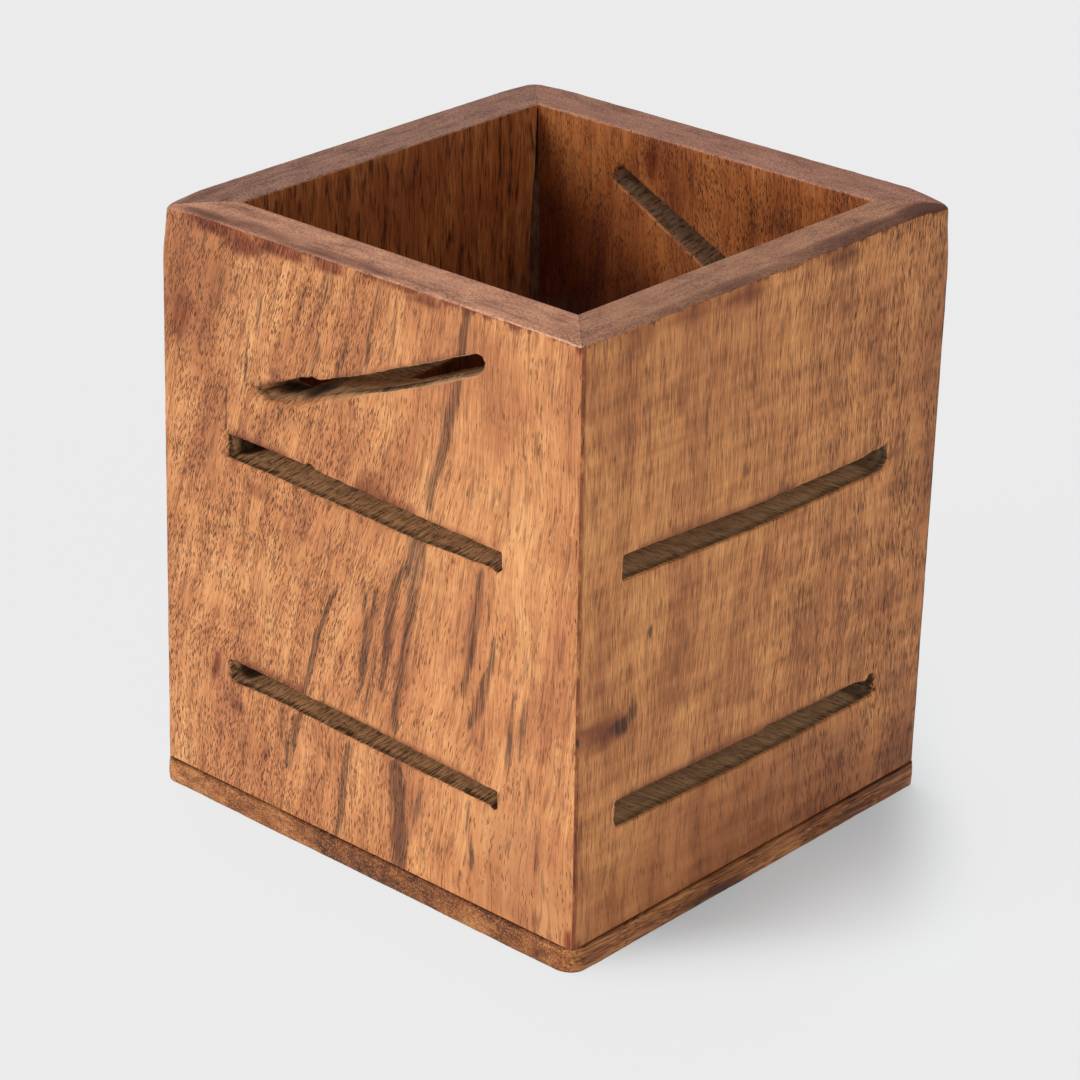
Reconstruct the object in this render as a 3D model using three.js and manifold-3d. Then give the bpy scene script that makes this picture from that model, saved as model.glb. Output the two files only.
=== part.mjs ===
// Square wooden pen cup: four mitred wall boards glued up on a base board.
// The walls carry decorative slots that go right through the wood.
// Millimetres, +Z up, origin at the middle of the underside, the front wall faces -Y.

import * as THREE from 'three';
import { mergeVertices } from 'three/addons/utils/BufferGeometryUtils.js';
import Module from 'manifold-3d';

const wasm = await Module();
wasm.setup();

// Outside of the cup: width along X, depth along Y, height along Z
const cupWidth = 86.5;
const cupDepth = 84.75;
const cupHeight = 100;

// Board stock
const wallThickness = 8.875;
const baseThickness = 4.25;

// Edges rounded by sanding
const wallCornerRadius = 2;
const rimOuterEase = 0.75;
const rimInnerEase = 0.375;
const baseCornerRadius = 3;
const baseUndersideEase = 1;
const baseJointEase = 0.375;

// Slots: the opening up the wall, the rounding left by the blade, and the heights of the rows
const slotOpening = 3.75;
const slotEndRadius = 0.5;
const middleRowBelowRim = 36.75;
const lowerRowAboveBase = 20.25;

// Wood left between an inner corner of the cup and the end of a level slot
const frontSlotMargin = 5.875;
const sideSlotNearMargin = 0.75;
const sideSlotFarMargin = 4.25;

// Slanted slot: its foot is cut level, its upper end stops below the rim
const slantFootBelowRim = 25.5;
const slantTopBelowRim = 6.75;
const slantTipOpening = 1;
const slantFootMargin = 11.625;
const frontSlantTopMargin = 10;
const backSlantTopMargin = 16.5;

// Fineness of the rounded edges
const cornerSteps = 6;
const easeSteps = 6;
const slotCornerSteps = 3;

// How far a cutter reaches past the faces that it cuts
const cutterOverrun = 2;

const wallHeight = cupHeight - baseThickness;
const quarterTurn = Math.PI / 2;

// Finishes
const frontWood = { color: 0xc98b5c, roughness: 0.55, metalness: 0 };
const sideWood = { color: 0xab7145, roughness: 0.55, metalness: 0 };
const backWood = { color: 0xa8653a, roughness: 0.6, metalness: 0 };
const baseWood = { color: 0x875434, roughness: 0.6, metalness: 0 };

function toSolid(geometry) {
  const bare = geometry.clone();
  bare.deleteAttribute('normal');
  bare.deleteAttribute('uv');
  const merged = mergeVertices(bare);
  return new wasm.Manifold(new wasm.Mesh({
    numProp: 3,
    vertProperties: new Float32Array(merged.attributes.position.array),
    triVerts: new Uint32Array(merged.index.array),
  }));
}

function toGeometry(solid) {
  const mesh = solid.getMesh();
  const geometry = new THREE.BufferGeometry();
  geometry.setAttribute('position', new THREE.BufferAttribute(mesh.vertProperties, 3));
  geometry.setIndex(new THREE.BufferAttribute(mesh.triVerts, 1));
  geometry.computeVertexNormals();
  return geometry;
}

// Closed body through a stack of level outlines with equal numbers of points.
// Outlines run counter-clockwise and the stack runs from bottom to top.
function loft(sections) {
  const count = sections[0].outline.length;
  const positions = [];
  const triangles = [];
  for (const { height, outline } of sections) {
    for (const point of outline) {
      positions.push(point.x, point.y, height);
    }
  }
  for (let level = 0; level < sections.length - 1; level += 1) {
    for (let index = 0; index < count; index += 1) {
      const here = level * count + index;
      const next = level * count + (index + 1) % count;
      triangles.push(here, next, next + count);
      triangles.push(here, next + count, here + count);
    }
  }
  const topStart = (sections.length - 1) * count;
  for (const [a, b, c] of THREE.ShapeUtils.triangulateShape(sections[0].outline, [])) {
    triangles.push(a, c, b);
  }
  for (const [a, b, c] of THREE.ShapeUtils.triangulateShape(sections.at(-1).outline, [])) {
    triangles.push(topStart + a, topStart + b, topStart + c);
  }
  const geometry = new THREE.BufferGeometry();
  geometry.setAttribute('position', new THREE.Float32BufferAttribute(positions, 3));
  geometry.setIndex(triangles);
  geometry.computeVertexNormals();
  return geometry;
}

// How far an edge of this radius has drawn in, at a distance from the face that it runs into
function drawnIn(radius, distance) {
  const rise = Math.max(radius - distance, 0);
  return radius - Math.sqrt(radius * radius - rise * rise);
}

function arcPoints(centreX, centreY, radius, startAngle, endAngle) {
  const points = [];
  for (let step = 0; step <= cornerSteps; step += 1) {
    const angle = startAngle + (endAngle - startAngle) * step / cornerSteps;
    const x = centreX + radius * Math.cos(angle);
    const y = centreY + radius * Math.sin(angle);
    points.push(new THREE.Vector2(x, y));
  }
  return points;
}

// Plan of one wall board with its outer face along y = 0 and a 45 degree mitre at each end.
// Each outer corner is half of the rounding that it shares with the neighbouring board.
function boardPlan(length, outerInset, innerInset) {
  const arcX = length / 2 - wallCornerRadius;
  const arcRadius = wallCornerRadius - outerInset;
  const innerX = length / 2 - wallThickness + innerInset;
  const innerY = wallThickness - innerInset;
  return [
    ...arcPoints(-arcX, wallCornerRadius, arcRadius, 2.5 * quarterTurn, 3 * quarterTurn),
    ...arcPoints(arcX, wallCornerRadius, arcRadius, 3 * quarterTurn, 3.5 * quarterTurn),
    new THREE.Vector2(innerX, innerY),
    new THREE.Vector2(-innerX, innerY),
  ];
}

// Board from its sawn lower end up to the rim, where both long edges are eased
function boardStock(length) {
  const easeDepth = Math.max(rimOuterEase, rimInnerEase);
  const sections = [{ height: 0, outline: boardPlan(length, 0, 0) }];
  for (let step = 0; step <= easeSteps; step += 1) {
    const below = easeDepth * (1 - Math.sin(quarterTurn * step / easeSteps));
    const outline = boardPlan(length, drawnIn(rimOuterEase, below), drawnIn(rimInnerEase, below));
    sections.push({ height: wallHeight - below, outline });
  }
  return loft(sections);
}

// Closed shape through the corners, each one rounded by slotEndRadius where its sides leave room
function roundedShape(corners) {
  const shape = new THREE.Shape();
  corners.forEach((corner, index) => {
    const toBefore = corners.at(index - 1).clone().sub(corner);
    const toAfter = corners[(index + 1) % corners.length].clone().sub(corner);
    const halfAngle = Math.abs(toBefore.angleTo(toAfter)) / 2;
    const room = Math.min(toBefore.length(), toAfter.length()) * 0.45;
    const tangent = Math.min(slotEndRadius / Math.tan(halfAngle), room);
    const start = corner.clone().addScaledVector(toBefore.normalize(), tangent);
    const end = corner.clone().addScaledVector(toAfter.normalize(), tangent);
    if (index === 0) {
      shape.moveTo(start.x, start.y);
    } else {
      shape.lineTo(start.x, start.y);
    }
    shape.quadraticCurveTo(corner.x, corner.y, end.x, end.y);
  });
  shape.closePath();
  return shape;
}

function levelSlot(startX, endX, centreHeight) {
  const low = centreHeight - slotOpening / 2;
  const high = centreHeight + slotOpening / 2;
  return roundedShape([
    new THREE.Vector2(startX, low),
    new THREE.Vector2(endX, low),
    new THREE.Vector2(endX, high),
    new THREE.Vector2(startX, high),
  ]);
}

// The upper side climbs from a narrow tip over the level foot to the top end.
// The lower side runs parallel to it and starts where it leaves the foot.
function slantedSlot(footX, topX) {
  const foot = wallHeight - slantFootBelowRim;
  const top = wallHeight - slantTopBelowRim;
  const slope = (top - foot - slantTipOpening) / (topX - footX);
  const footEndX = footX + (slotOpening - slantTipOpening) / slope;
  return roundedShape([
    new THREE.Vector2(footX, foot),
    new THREE.Vector2(footEndX, foot),
    new THREE.Vector2(topX, top - slotOpening),
    new THREE.Vector2(topX, top),
    new THREE.Vector2(footX, foot + slantTipOpening),
  ]);
}

// Cutter for a slot outline, standing through the whole thickness of a board
function slotCutter(shape) {
  const depth = wallThickness + 2 * cutterOverrun;
  const geometry = new THREE.ExtrudeGeometry(shape, {
    depth,
    bevelEnabled: false,
    curveSegments: slotCornerSteps,
  });
  geometry.rotateX(quarterTurn);
  geometry.translate(0, wallThickness + cutterOverrun, 0);
  return geometry;
}

function slottedBoard(length, slots) {
  let board = toSolid(boardStock(length));
  for (const slot of slots) {
    board = board.subtract(toSolid(slotCutter(slot)));
  }
  return toGeometry(board);
}

// Slots of a front or back wall: two level rows and the slanted slot over them
function frontSlots(slantTopMargin) {
  const innerEnd = cupWidth / 2 - wallThickness;
  const levelEnd = innerEnd - frontSlotMargin;
  return [
    levelSlot(-levelEnd, levelEnd, lowerRowAboveBase),
    levelSlot(-levelEnd, levelEnd, wallHeight - middleRowBelowRim),
    slantedSlot(-innerEnd + slantFootMargin, innerEnd - slantTopMargin),
  ];
}

// Slots of a side wall: the two level rows, nearly reaching the inner corner at one end
function sideSlots() {
  const innerEnd = cupDepth / 2 - wallThickness;
  const nearEnd = -innerEnd + sideSlotNearMargin;
  const farEnd = innerEnd - sideSlotFarMargin;
  return [
    levelSlot(nearEnd, farEnd, lowerRowAboveBase),
    levelSlot(nearEnd, farEnd, wallHeight - middleRowBelowRim),
  ];
}

// Wall board standing on the base, turned about the middle of the cup to its side
function wall(name, geometry, finish, turns, reach) {
  const mesh = new THREE.Mesh(geometry, new THREE.MeshStandardMaterial(finish));
  mesh.name = name;
  mesh.position.set(0, -reach, baseThickness);
  const side = new THREE.Group();
  side.rotation.z = turns * quarterTurn;
  side.add(mesh);
  return side;
}

function basePlan(inset) {
  const radius = baseCornerRadius - inset;
  const arcX = cupWidth / 2 - baseCornerRadius;
  const arcY = cupDepth / 2 - baseCornerRadius;
  return [
    ...arcPoints(arcX, -arcY, radius, -quarterTurn, 0),
    ...arcPoints(arcX, arcY, radius, 0, quarterTurn),
    ...arcPoints(-arcX, arcY, radius, quarterTurn, 2 * quarterTurn),
    ...arcPoints(-arcX, -arcY, radius, 2 * quarterTurn, 3 * quarterTurn),
  ];
}

// Base board: flat underside inside a rounded edge, and a small ease that shows as the joint line
function baseBoard() {
  const sections = [];
  for (let step = 0; step <= easeSteps; step += 1) {
    const height = baseUndersideEase * (1 - Math.cos(quarterTurn * step / easeSteps));
    sections.push({ height, outline: basePlan(drawnIn(baseUndersideEase, height)) });
  }
  for (let step = 0; step <= easeSteps; step += 1) {
    const below = baseJointEase * (1 - Math.sin(quarterTurn * step / easeSteps));
    const outline = basePlan(drawnIn(baseJointEase, below));
    sections.push({ height: baseThickness - below, outline });
  }
  const mesh = new THREE.Mesh(loft(sections), new THREE.MeshStandardMaterial(baseWood));
  mesh.name = 'base_board';
  return mesh;
}

const penCup = new THREE.Group();
penCup.add(baseBoard());

const frontBoard = slottedBoard(cupWidth, frontSlots(frontSlantTopMargin));
const backBoard = slottedBoard(cupWidth, frontSlots(backSlantTopMargin));
penCup.add(wall('front_wall', frontBoard, frontWood, 0, cupDepth / 2));
penCup.add(wall('right_wall', slottedBoard(cupDepth, sideSlots()), sideWood, 1, cupWidth / 2));
penCup.add(wall('back_wall', backBoard, backWood, 2, cupDepth / 2));
penCup.add(wall('left_wall', slottedBoard(cupDepth, sideSlots()), sideWood, 3, cupWidth / 2));

export default penCup;
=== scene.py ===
"""A square wooden cup for pens: four mitred boards with sawn slots, glued on a base board.

Lengths are in millimetres inside the classes and in metres in the finished meshes. The cup stands
on z = 0 with the middle of its underside at the origin. Each board also has directions of its own:
`along` runs sideways as seen from outside, `deep` runs inwards from its outer face, and `up` is Z.
A pair of numbers often gives a band, where a share starts and where it is full. NOWHERE is a band
past the end of every board, for a share that stays 0.
"""

import logging
import math
from dataclasses import dataclass, field
from enum import Enum
from typing import Any

import bmesh
import bpy
import numpy as np
from mathutils import Matrix, Vector, noise


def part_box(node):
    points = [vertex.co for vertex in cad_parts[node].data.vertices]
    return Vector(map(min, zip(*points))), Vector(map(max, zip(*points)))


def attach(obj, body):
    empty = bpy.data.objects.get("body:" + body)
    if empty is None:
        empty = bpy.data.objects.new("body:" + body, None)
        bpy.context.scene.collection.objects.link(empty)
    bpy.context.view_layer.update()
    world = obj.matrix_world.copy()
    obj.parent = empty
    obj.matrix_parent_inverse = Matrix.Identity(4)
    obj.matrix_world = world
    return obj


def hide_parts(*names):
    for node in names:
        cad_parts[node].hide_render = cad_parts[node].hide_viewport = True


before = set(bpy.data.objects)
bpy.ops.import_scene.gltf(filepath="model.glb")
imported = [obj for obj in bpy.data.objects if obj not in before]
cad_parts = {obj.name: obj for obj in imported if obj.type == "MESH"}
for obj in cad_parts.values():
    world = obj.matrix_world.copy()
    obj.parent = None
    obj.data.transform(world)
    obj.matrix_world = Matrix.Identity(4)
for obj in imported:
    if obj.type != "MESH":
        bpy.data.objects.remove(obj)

MM = 0.001
PLACE = "board_place"
MARKS = "board_marks"
VIEW_AZIMUTH = 41.549
NOWHERE = (200.0, 201.0)
log = logging.getLogger("pen_cup")

Triple = tuple[float, float, float]
Colour = Triple
Spot = tuple[float, float]
Signs = tuple[int, int]


def ease(value: float | np.ndarray, low: float, high: float) -> float | np.ndarray:
    """Rises smoothly from 0 to 1 between two values.

    Args:
        value: Number or array of numbers to place.
        low: Value that gives 0.
        high: Value that gives 1.

    Returns:
        The share, of the same kind as value.
    """
    share = np.clip((value - low) / (high - low), 0.0, 1.0)
    return share * share * (3.0 - 2.0 * share)


def ripple(x: float, y: float = 0.0, z: float = 0.0) -> float:
    """Smooth noise from -1 to 1 at a point."""
    return noise.noise(Vector((x, y, z)))


def quarter(steps: int) -> list[Spot]:
    """Walks round the quarter circle of a rounded edge.

    Args:
        steps: Number of steps.

    Returns:
        Two shares of the radius after each step: one rises from 0 to 1, one falls from 1 to 0.
    """
    turns = np.linspace(0.0, math.pi / 2, steps + 1)[1:]
    return [(1 - math.cos(turn), 1 - math.sin(turn)) for turn in turns]


class Side(Enum):
    """The four walls, each with the quarter turns that carry the front wall to it."""

    FRONT = 0
    RIGHT = 1
    BACK = 2
    LEFT = 3

    @property
    def node(self) -> str:
        """Name of the wall's node in the frame."""
        return f"{self.name.lower()}_wall"

    @property
    def finish_slot(self) -> str:
        """Name of the wall's material slot."""
        return f"{self.name.lower()}_wood"

    @property
    def crosswise(self) -> bool:
        """Whether the wall runs along X, as the front and the back do."""
        return self in (Side.FRONT, Side.BACK)

    @property
    def along(self) -> Vector:
        """Direction along the wall, as seen from outside."""
        return Vector(((1, 0, 0), (0, 1, 0), (-1, 0, 0), (0, -1, 0))[self.value])

    @property
    def inward(self) -> Vector:
        """Direction through the wall, towards the pens."""
        return Vector(((0, 1, 0), (-1, 0, 0), (0, -1, 0), (1, 0, 0))[self.value])


@dataclass(frozen=True)
class CupSizes:
    """The main sizes of the cup."""

    width: float
    depth: float
    height: float
    wall: float
    base: float

    @classmethod
    def from_frame(cls) -> "CupSizes":
        """Reads the sizes of the boards from the frame.

        Returns:
            The sizes.
        """
        base_low, base_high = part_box("base_board")
        wall_low, wall_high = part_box("front_wall")
        return cls(
            width=(base_high.x - base_low.x) / MM,
            depth=(base_high.y - base_low.y) / MM,
            height=wall_high.z / MM,
            wall=(wall_high.y - wall_low.y) / MM,
            base=base_high.z / MM,
        )

    def half_length(self, side: Side) -> float:
        """Half of a wall's length along its outer face."""
        return (self.width if side.crosswise else self.depth) / 2

    def half_span(self, side: Side) -> float:
        """Distance from the cup's middle to a wall's outer face."""
        return (self.depth if side.crosswise else self.width) / 2

    def placed(self, places: np.ndarray, side: Side) -> np.ndarray:
        """Turns places in a board into points of the cup.

        Args:
            places: Rows of along, deep and up.
            side: Wall that the places belong to.

        Returns:
            Rows of x, y and z.
        """
        inwards = places[:, 1:2] - self.half_span(side)
        points = places[:, 0:1] * np.array(side.along) + inwards * np.array(side.inward)
        points[:, 2] += places[:, 2]
        return points

    def places(self, points: np.ndarray, side: Side) -> np.ndarray:
        """Turns points of the cup into places in a board.

        Args:
            points: Rows of x, y and z.
            side: Wall that the points belong to.

        Returns:
            Rows of along, deep and up.
        """
        deep = points @ np.array(side.inward) + self.half_span(side)
        return np.column_stack([points @ np.array(side.along), deep, points[:, 2]])


@dataclass(frozen=True)
class Wear:
    """Uneven wear along an edge, from broad and fine ripples with their strengths and sizes."""

    broad: float
    broad_size: float
    fine: float
    fine_size: float

    def at(self, place: float, seed: float) -> float:
        """Wear at a place along the edge.

        Args:
            place: Place along the edge.
            seed: Number that sets the edge apart from others.

        Returns:
            The wear as a share, which swings about 0.
        """
        broad = self.broad * ripple(place / self.broad_size, seed)
        return broad + self.fine * ripple(place / self.fine_size, seed)


@dataclass(frozen=True)
class Arris:
    """A vertical edge of the cup, rounded more towards the rim and worn a little unevenly."""

    radius: float
    top_radius: float
    rise: float
    seed: float
    wear: Wear = Wear(broad=0.14, broad_size=6.0, fine=0.08, fine_size=1.7)

    def radius_at(self, up: float, height: float) -> float:
        """Rounding radius at a height.

        Args:
            up: Height above the table.
            height: Height of the rim.

        Returns:
            The radius there.
        """
        spread = self.top_radius - self.radius
        radius = self.radius + spread * float(ease(up, height - self.rise, height))
        return radius * (1.0 + self.wear.at(up, self.seed))


@dataclass(frozen=True)
class RimEdge:
    """The eased outer edge of the rim: how far it runs in and how far it drops."""

    run: float
    drop: float


@dataclass(frozen=True)
class Corner:
    """A corner of the cup, with its arris and the edge of the rim there."""

    arris: Arris
    rim: RimEdge


@dataclass(frozen=True)
class HandFit:
    """What hand work does to a square box: corners a little out of place and rim corners worn down.

    Corners are keyed by their signs in x and y, for the rim and for the foot.
    """

    sizes: CupSizes
    rim_shift: dict[Signs, Triple] = field(
        default_factory=lambda: {
            (-1, -1): (0.6, 0.0, -0.5),
            (1, -1): (-0.4, -0.2, 0.1),
            (1, 1): (0.1, 0.4, 0.6),
            (-1, 1): (0.0, 0.0, 0.1),
        }
    )
    foot_shift: dict[Signs, Triple] = field(
        default_factory=lambda: {
            (-1, -1): (-1.0, 0.4, 0.0),
            (1, -1): (0.8, 0.0, 0.0),
            (1, 1): (0.6, -0.5, 0.0),
            (-1, 1): (0.0, 0.0, 0.0),
        }
    )
    corner_dip: dict[Signs, float] = field(
        default_factory=lambda: {(-1, -1): 0.35, (1, -1): 0.1, (1, 1): 0.7, (-1, 1): 0.2}
    )
    dip_reach: float = 9.0
    dip_depth: float = 9.0

    def bend(self, points: np.ndarray) -> np.ndarray:
        """Moves points of the square cup to where the handmade one has them.

        Args:
            points: Rows of x, y and z in millimetres.

        Returns:
            The moved rows.
        """
        sizes = self.sizes
        moved = points.copy()
        lift = np.clip(points[:, 2] / sizes.height, 0.0, 1.0)
        for signs, rim in self.rim_shift.items():
            foot = self.foot_shift[signs]
            towards_x, towards_y = signs[0] * points[:, 0], signs[1] * points[:, 1]
            share = np.clip(0.5 + towards_x / sizes.width, 0.0, 1.0)
            share = share * np.clip(0.5 + towards_y / sizes.depth, 0.0, 1.0)
            for axis in range(3):
                moved[:, axis] += share * (foot[axis] + lift * (rim[axis] - foot[axis]))
            away = np.hypot(towards_x - sizes.width / 2, towards_y - sizes.depth / 2)
            dip = self.corner_dip[signs] * (1.0 - ease(away, 0.0, self.dip_reach))
            moved[:, 2] -= dip * ease(points[:, 2], sizes.height - self.dip_depth, sizes.height)
        return moved


class Piece:
    """One piece of the cup as a mesh, from its points in millimetres."""

    def __init__(self, name: str, points: np.ndarray, faces: list[list[int]]) -> None:
        """Makes the mesh object.

        Args:
            name: Name of the piece.
            points: Rows of x, y and z in millimetres.
            faces: Vertex numbers of each face.
        """
        mesh = bpy.data.meshes.new(name)
        mesh.from_pydata((points * MM).tolist(), [], faces)
        shaped = bmesh.new()
        shaped.from_mesh(mesh)
        bmesh.ops.recalc_face_normals(shaped, faces=shaped.faces)
        shaped.to_mesh(mesh)
        shaped.free()
        self.object = bpy.data.objects.new(name, mesh)
        bpy.context.scene.collection.objects.link(self.object)

    def points(self) -> np.ndarray:
        """Reads the vertices of the mesh.

        Returns:
            Rows of x, y and z in millimetres.
        """
        mesh = self.object.data
        flat = np.zeros(len(mesh.vertices) * 3, np.float32)
        mesh.vertices.foreach_get("co", flat)
        return flat.reshape(-1, 3).astype(float) / MM

    def keep(self, name: str, rows: np.ndarray) -> None:
        """Stores three numbers with each vertex, which the finish reads by name."""
        made = self.object.data.attributes.new(name, "FLOAT_VECTOR", "POINT")
        made.data.foreach_set("vector", rows.astype(np.float32).ravel())

    def cut_by(self, cutter: "Piece") -> None:
        """Takes the shape of another piece out of this one and throws that piece away.

        Args:
            cutter: Piece that is taken out.
        """
        change = self.object.modifiers.new("cut", "BOOLEAN")
        change.operation = "DIFFERENCE"
        change.solver = "MANIFOLD"
        change.object = cutter.object
        graph = bpy.context.evaluated_depsgraph_get()
        cut = bpy.data.meshes.new_from_object(self.object.evaluated_get(graph))
        self.object.modifiers.clear()
        spent = (self.object.data, cutter.object.data)
        self.object.data = cut
        bpy.data.objects.remove(cutter.object)
        for mesh in spent:
            bpy.data.meshes.remove(mesh)

    def settle(self, points: np.ndarray, places: np.ndarray, fit: HandFit, crease: float) -> None:
        """Keeps each vertex's place for the finish, bends the shape by hand work and shades it.

        Args:
            points: Rows of x, y and z of the square shape.
            places: Rows of the places that the finish reads.
            fit: What hand work does to the shape.
            crease: Angle in degrees from which an edge stays crisp.
        """
        mesh = self.object.data
        self.keep(PLACE, places)
        mesh.vertices.foreach_set("co", (fit.bend(points) * MM).astype(np.float32).ravel())
        mesh.update()
        mesh.shade_smooth()
        mesh.set_sharp_from_angle(angle=math.radians(crease))

    def dress(self, material: bpy.types.Material, body: str, slot: str) -> None:
        """Gives the piece its finish and the body that it belongs to, and reports it.

        Args:
            material: The finish.
            body: Body that carries the piece.
            slot: Material slot of the record that the finish belongs to. It is not used.
        """
        self.object.data.materials.clear()
        self.object.data.materials.append(material)
        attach(self.object, body)
        log.info("%s has %d vertices", self.object.name, len(self.object.data.vertices))


def ring_faces(rings: int, count: int) -> list[list[int]]:
    """Faces of a tube made of closed rings of points, closed at its two ends.

    Args:
        rings: Number of rings.
        count: Points in each ring.

    Returns:
        Vertex numbers of each face.
    """
    faces = []
    for low in range(0, (rings - 1) * count, count):
        high = low + count
        for step in range(count):
            after = (step + 1) % count
            faces.append([low + step, low + after, high + after, high + step])
    faces.append(list(reversed(range(count))))
    faces.append([(rings - 1) * count + step for step in range(count)])
    return faces


@dataclass(frozen=True)
class SlotOutline:
    """A sawn slot: its ragged outline on the outer face and how the inner one differs.

    Outlines run clockwise from the upper left corner, in (along, up). The slot flares by `lip` at
    both faces, and its sill is worn down by `sill` at the outer face. Its sides are ragged in
    fine and broad waves, whose sizes are given along the outline and in depth.
    """

    outer: tuple[Spot, ...]
    inner: tuple[Spot, ...] = ()
    lip: float = 0.22
    sill: float = 0.0
    seed: float = 0.0
    step: float = 0.35
    overshoot: float = 1.5
    end_gap: float = 0.45
    near_rings: Spot = (0.577, 0.9)
    worn_depth: float = 1.3
    middle_rings: int = 8
    ragged_fine: float = 0.10
    fine_size: Spot = (0.85, 7.0)
    ragged_broad: float = 0.13
    broad_size: Spot = (3.1, 4.0)
    broad_seed: float = 9.0
    sill_facing: Spot = (0.3, 0.9)

    def _walked(self, corners: tuple[Spot, ...]) -> np.ndarray:
        """Points along an outline, as many on each side of it as the outer outline needs.

        Args:
            corners: Corners of the outline.

        Returns:
            Rows of along and up.
        """
        spots = []
        after = [*range(1, len(corners)), 0]
        for index, follows in enumerate(after):
            length = math.dist(self.outer[index], self.outer[follows])
            count = max(1, round(length / self.step))
            start, finish = np.array(corners[index]), np.array(corners[follows])
            spots.extend(start + (finish - start) * step / count for step in range(count))
        return np.array(spots)

    @staticmethod
    def _outward(outline: np.ndarray) -> np.ndarray:
        """Unit directions out of a clockwise outline.

        Args:
            outline: Rows of along and up.

        Returns:
            One direction for each row.
        """
        tangent = np.roll(outline, -2, axis=0) - np.roll(outline, 2, axis=0)
        tangent /= np.maximum(np.linalg.norm(tangent, axis=1, keepdims=True), 1e-9)
        return np.stack([-tangent[:, 1], tangent[:, 0]], axis=1)

    def _depths(self, wall: float) -> list[float]:
        """Depths at which the slot changes, closest together near the two faces.

        Args:
            wall: Thickness of the wall.

        Returns:
            The depths, from outside to inside.
        """
        middle = np.linspace(self.worn_depth, wall - self.worn_depth, self.middle_rings)
        return [
            -self.overshoot, 0.0, self.lip, *self.near_rings, *middle,
            wall - self.lip, wall, wall + self.overshoot,
        ]

    def _grown(
        self, away: np.ndarray, travelled: np.ndarray, deep: float, wall: float
    ) -> np.ndarray:
        """How far the slot's side stands out from its outline at a depth.

        Args:
            away: Directions out of the outline.
            travelled: Distances walked along it.
            deep: The depth.
            wall: Thickness of the wall.

        Returns:
            One distance for each point, as a column.
        """
        from_face = min(deep, wall - deep)
        flare = self.lip * (1.0 - float(ease(from_face, 0.0, self.lip)))
        length, depth = self.fine_size
        fine = [ripple(at / length, deep / depth, self.seed) for at in travelled]
        length, depth = self.broad_size
        seed = self.seed + self.broad_seed
        broad = [ripple(at / length, deep / depth, seed) for at in travelled]
        rough = self.ragged_fine * np.array(fine) + self.ragged_broad * np.array(broad)
        outer_share = 1.0 - min(max(deep, 0.0) / self.worn_depth, 1.0)
        worn = self.sill * outer_share * ease(-away[:, 1:2], *self.sill_facing)
        return flare + worn + rough[:, None]

    def cutter(self, side: Side, sizes: CupSizes, name: str) -> Piece:
        """Builds the solid that is taken out of a wall.

        Args:
            side: Wall that the slot goes through.
            sizes: Sizes of the cup.
            name: Name of the solid.

        Returns:
            The solid, through the wall and a little past both faces.
        """
        outside, inside = self._walked(self.outer), self._walked(self.inner or self.outer)
        travelled = np.cumsum(np.linalg.norm(outside - np.roll(outside, 1, axis=0), axis=1))
        depths = self._depths(sizes.wall)
        rings = []
        for deep in depths:
            ring = outside + (inside - outside) * min(max(deep / sizes.wall, 0.0), 1.0)
            away = self._outward(ring)
            ring = ring + away * self._grown(away, travelled, deep, sizes.wall)
            reach = sizes.half_length(side) - max(deep, 0.0) - self.end_gap
            ring[:, 0] = np.clip(ring[:, 0], -reach, reach)
            rings.append(np.column_stack([ring[:, 0], np.full(len(ring), deep), ring[:, 1]]))
        points = sizes.placed(np.concatenate(rings), side)
        return Piece(name, points, ring_faces(len(depths), len(outside)))


FRONT_MIDDLE_SLOT = SlotOutline(
    outer=(
        (-28.7, 65.9), (-20.0, 65.9), (-12.0, 65.8), (-11.3, 66.25), (-10.5, 66.2), (-9.9, 65.55),
        (11.4, 64.7), (28.3, 64.2), (28.5, 61.5), (27.5, 60.6), (26.4, 61.1), (11.4, 60.75),
        (-10.5, 61.45), (-18.5, 61.8), (-28.8, 61.9),
    ),
    seed=3.1,
)
FRONT_LOWER_SLOT = SlotOutline(
    outer=(
        (-28.8, 27.1), (-27.9, 27.0), (-27.2, 27.65), (-26.3, 27.2), (-20.6, 27.0), (-1.0, 26.5),
        (28.0, 25.15), (28.1, 22.3), (27.3, 21.8), (26.3, 22.35), (-1.0, 22.85), (-20.6, 23.55),
        (-26.8, 23.3), (-28.4, 23.5), (-28.9, 24.3),
    ),
    seed=7.7,
)
FRONT_SLANTED_SLOT = SlotOutline(
    outer=(
        (-22.9, 75.4), (-13.1, 79.45), (-10.4, 80.5), (-8.7, 80.35), (-7.0, 81.0), (1.9, 84.5),
        (12.45, 88.9), (22.9, 93.4), (24.2, 93.3), (24.8, 92.25), (23.4, 90.8), (12.5, 85.9),
        (1.9, 81.8), (-0.1, 81.0), (-7.0, 78.1), (-14.0, 75.2), (-19.5, 74.5), (-22.7, 74.7),
    ),
    inner=(
        (-21.5, 75.2), (-13.0, 80.2), (-10.4, 81.3), (-8.7, 82.0), (-7.0, 82.6), (1.9, 85.2),
        (12.45, 89.2), (22.5, 93.5), (23.8, 93.3), (24.4, 92.1), (23.2, 90.3), (12.0, 85.3),
        (3.9, 81.6), (-0.6, 80.5), (-9.0, 78.9), (-13.3, 77.0), (-19.0, 74.0), (-21.6, 74.3),
    ),
    sill=0.6,
    seed=12.4,
)
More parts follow.
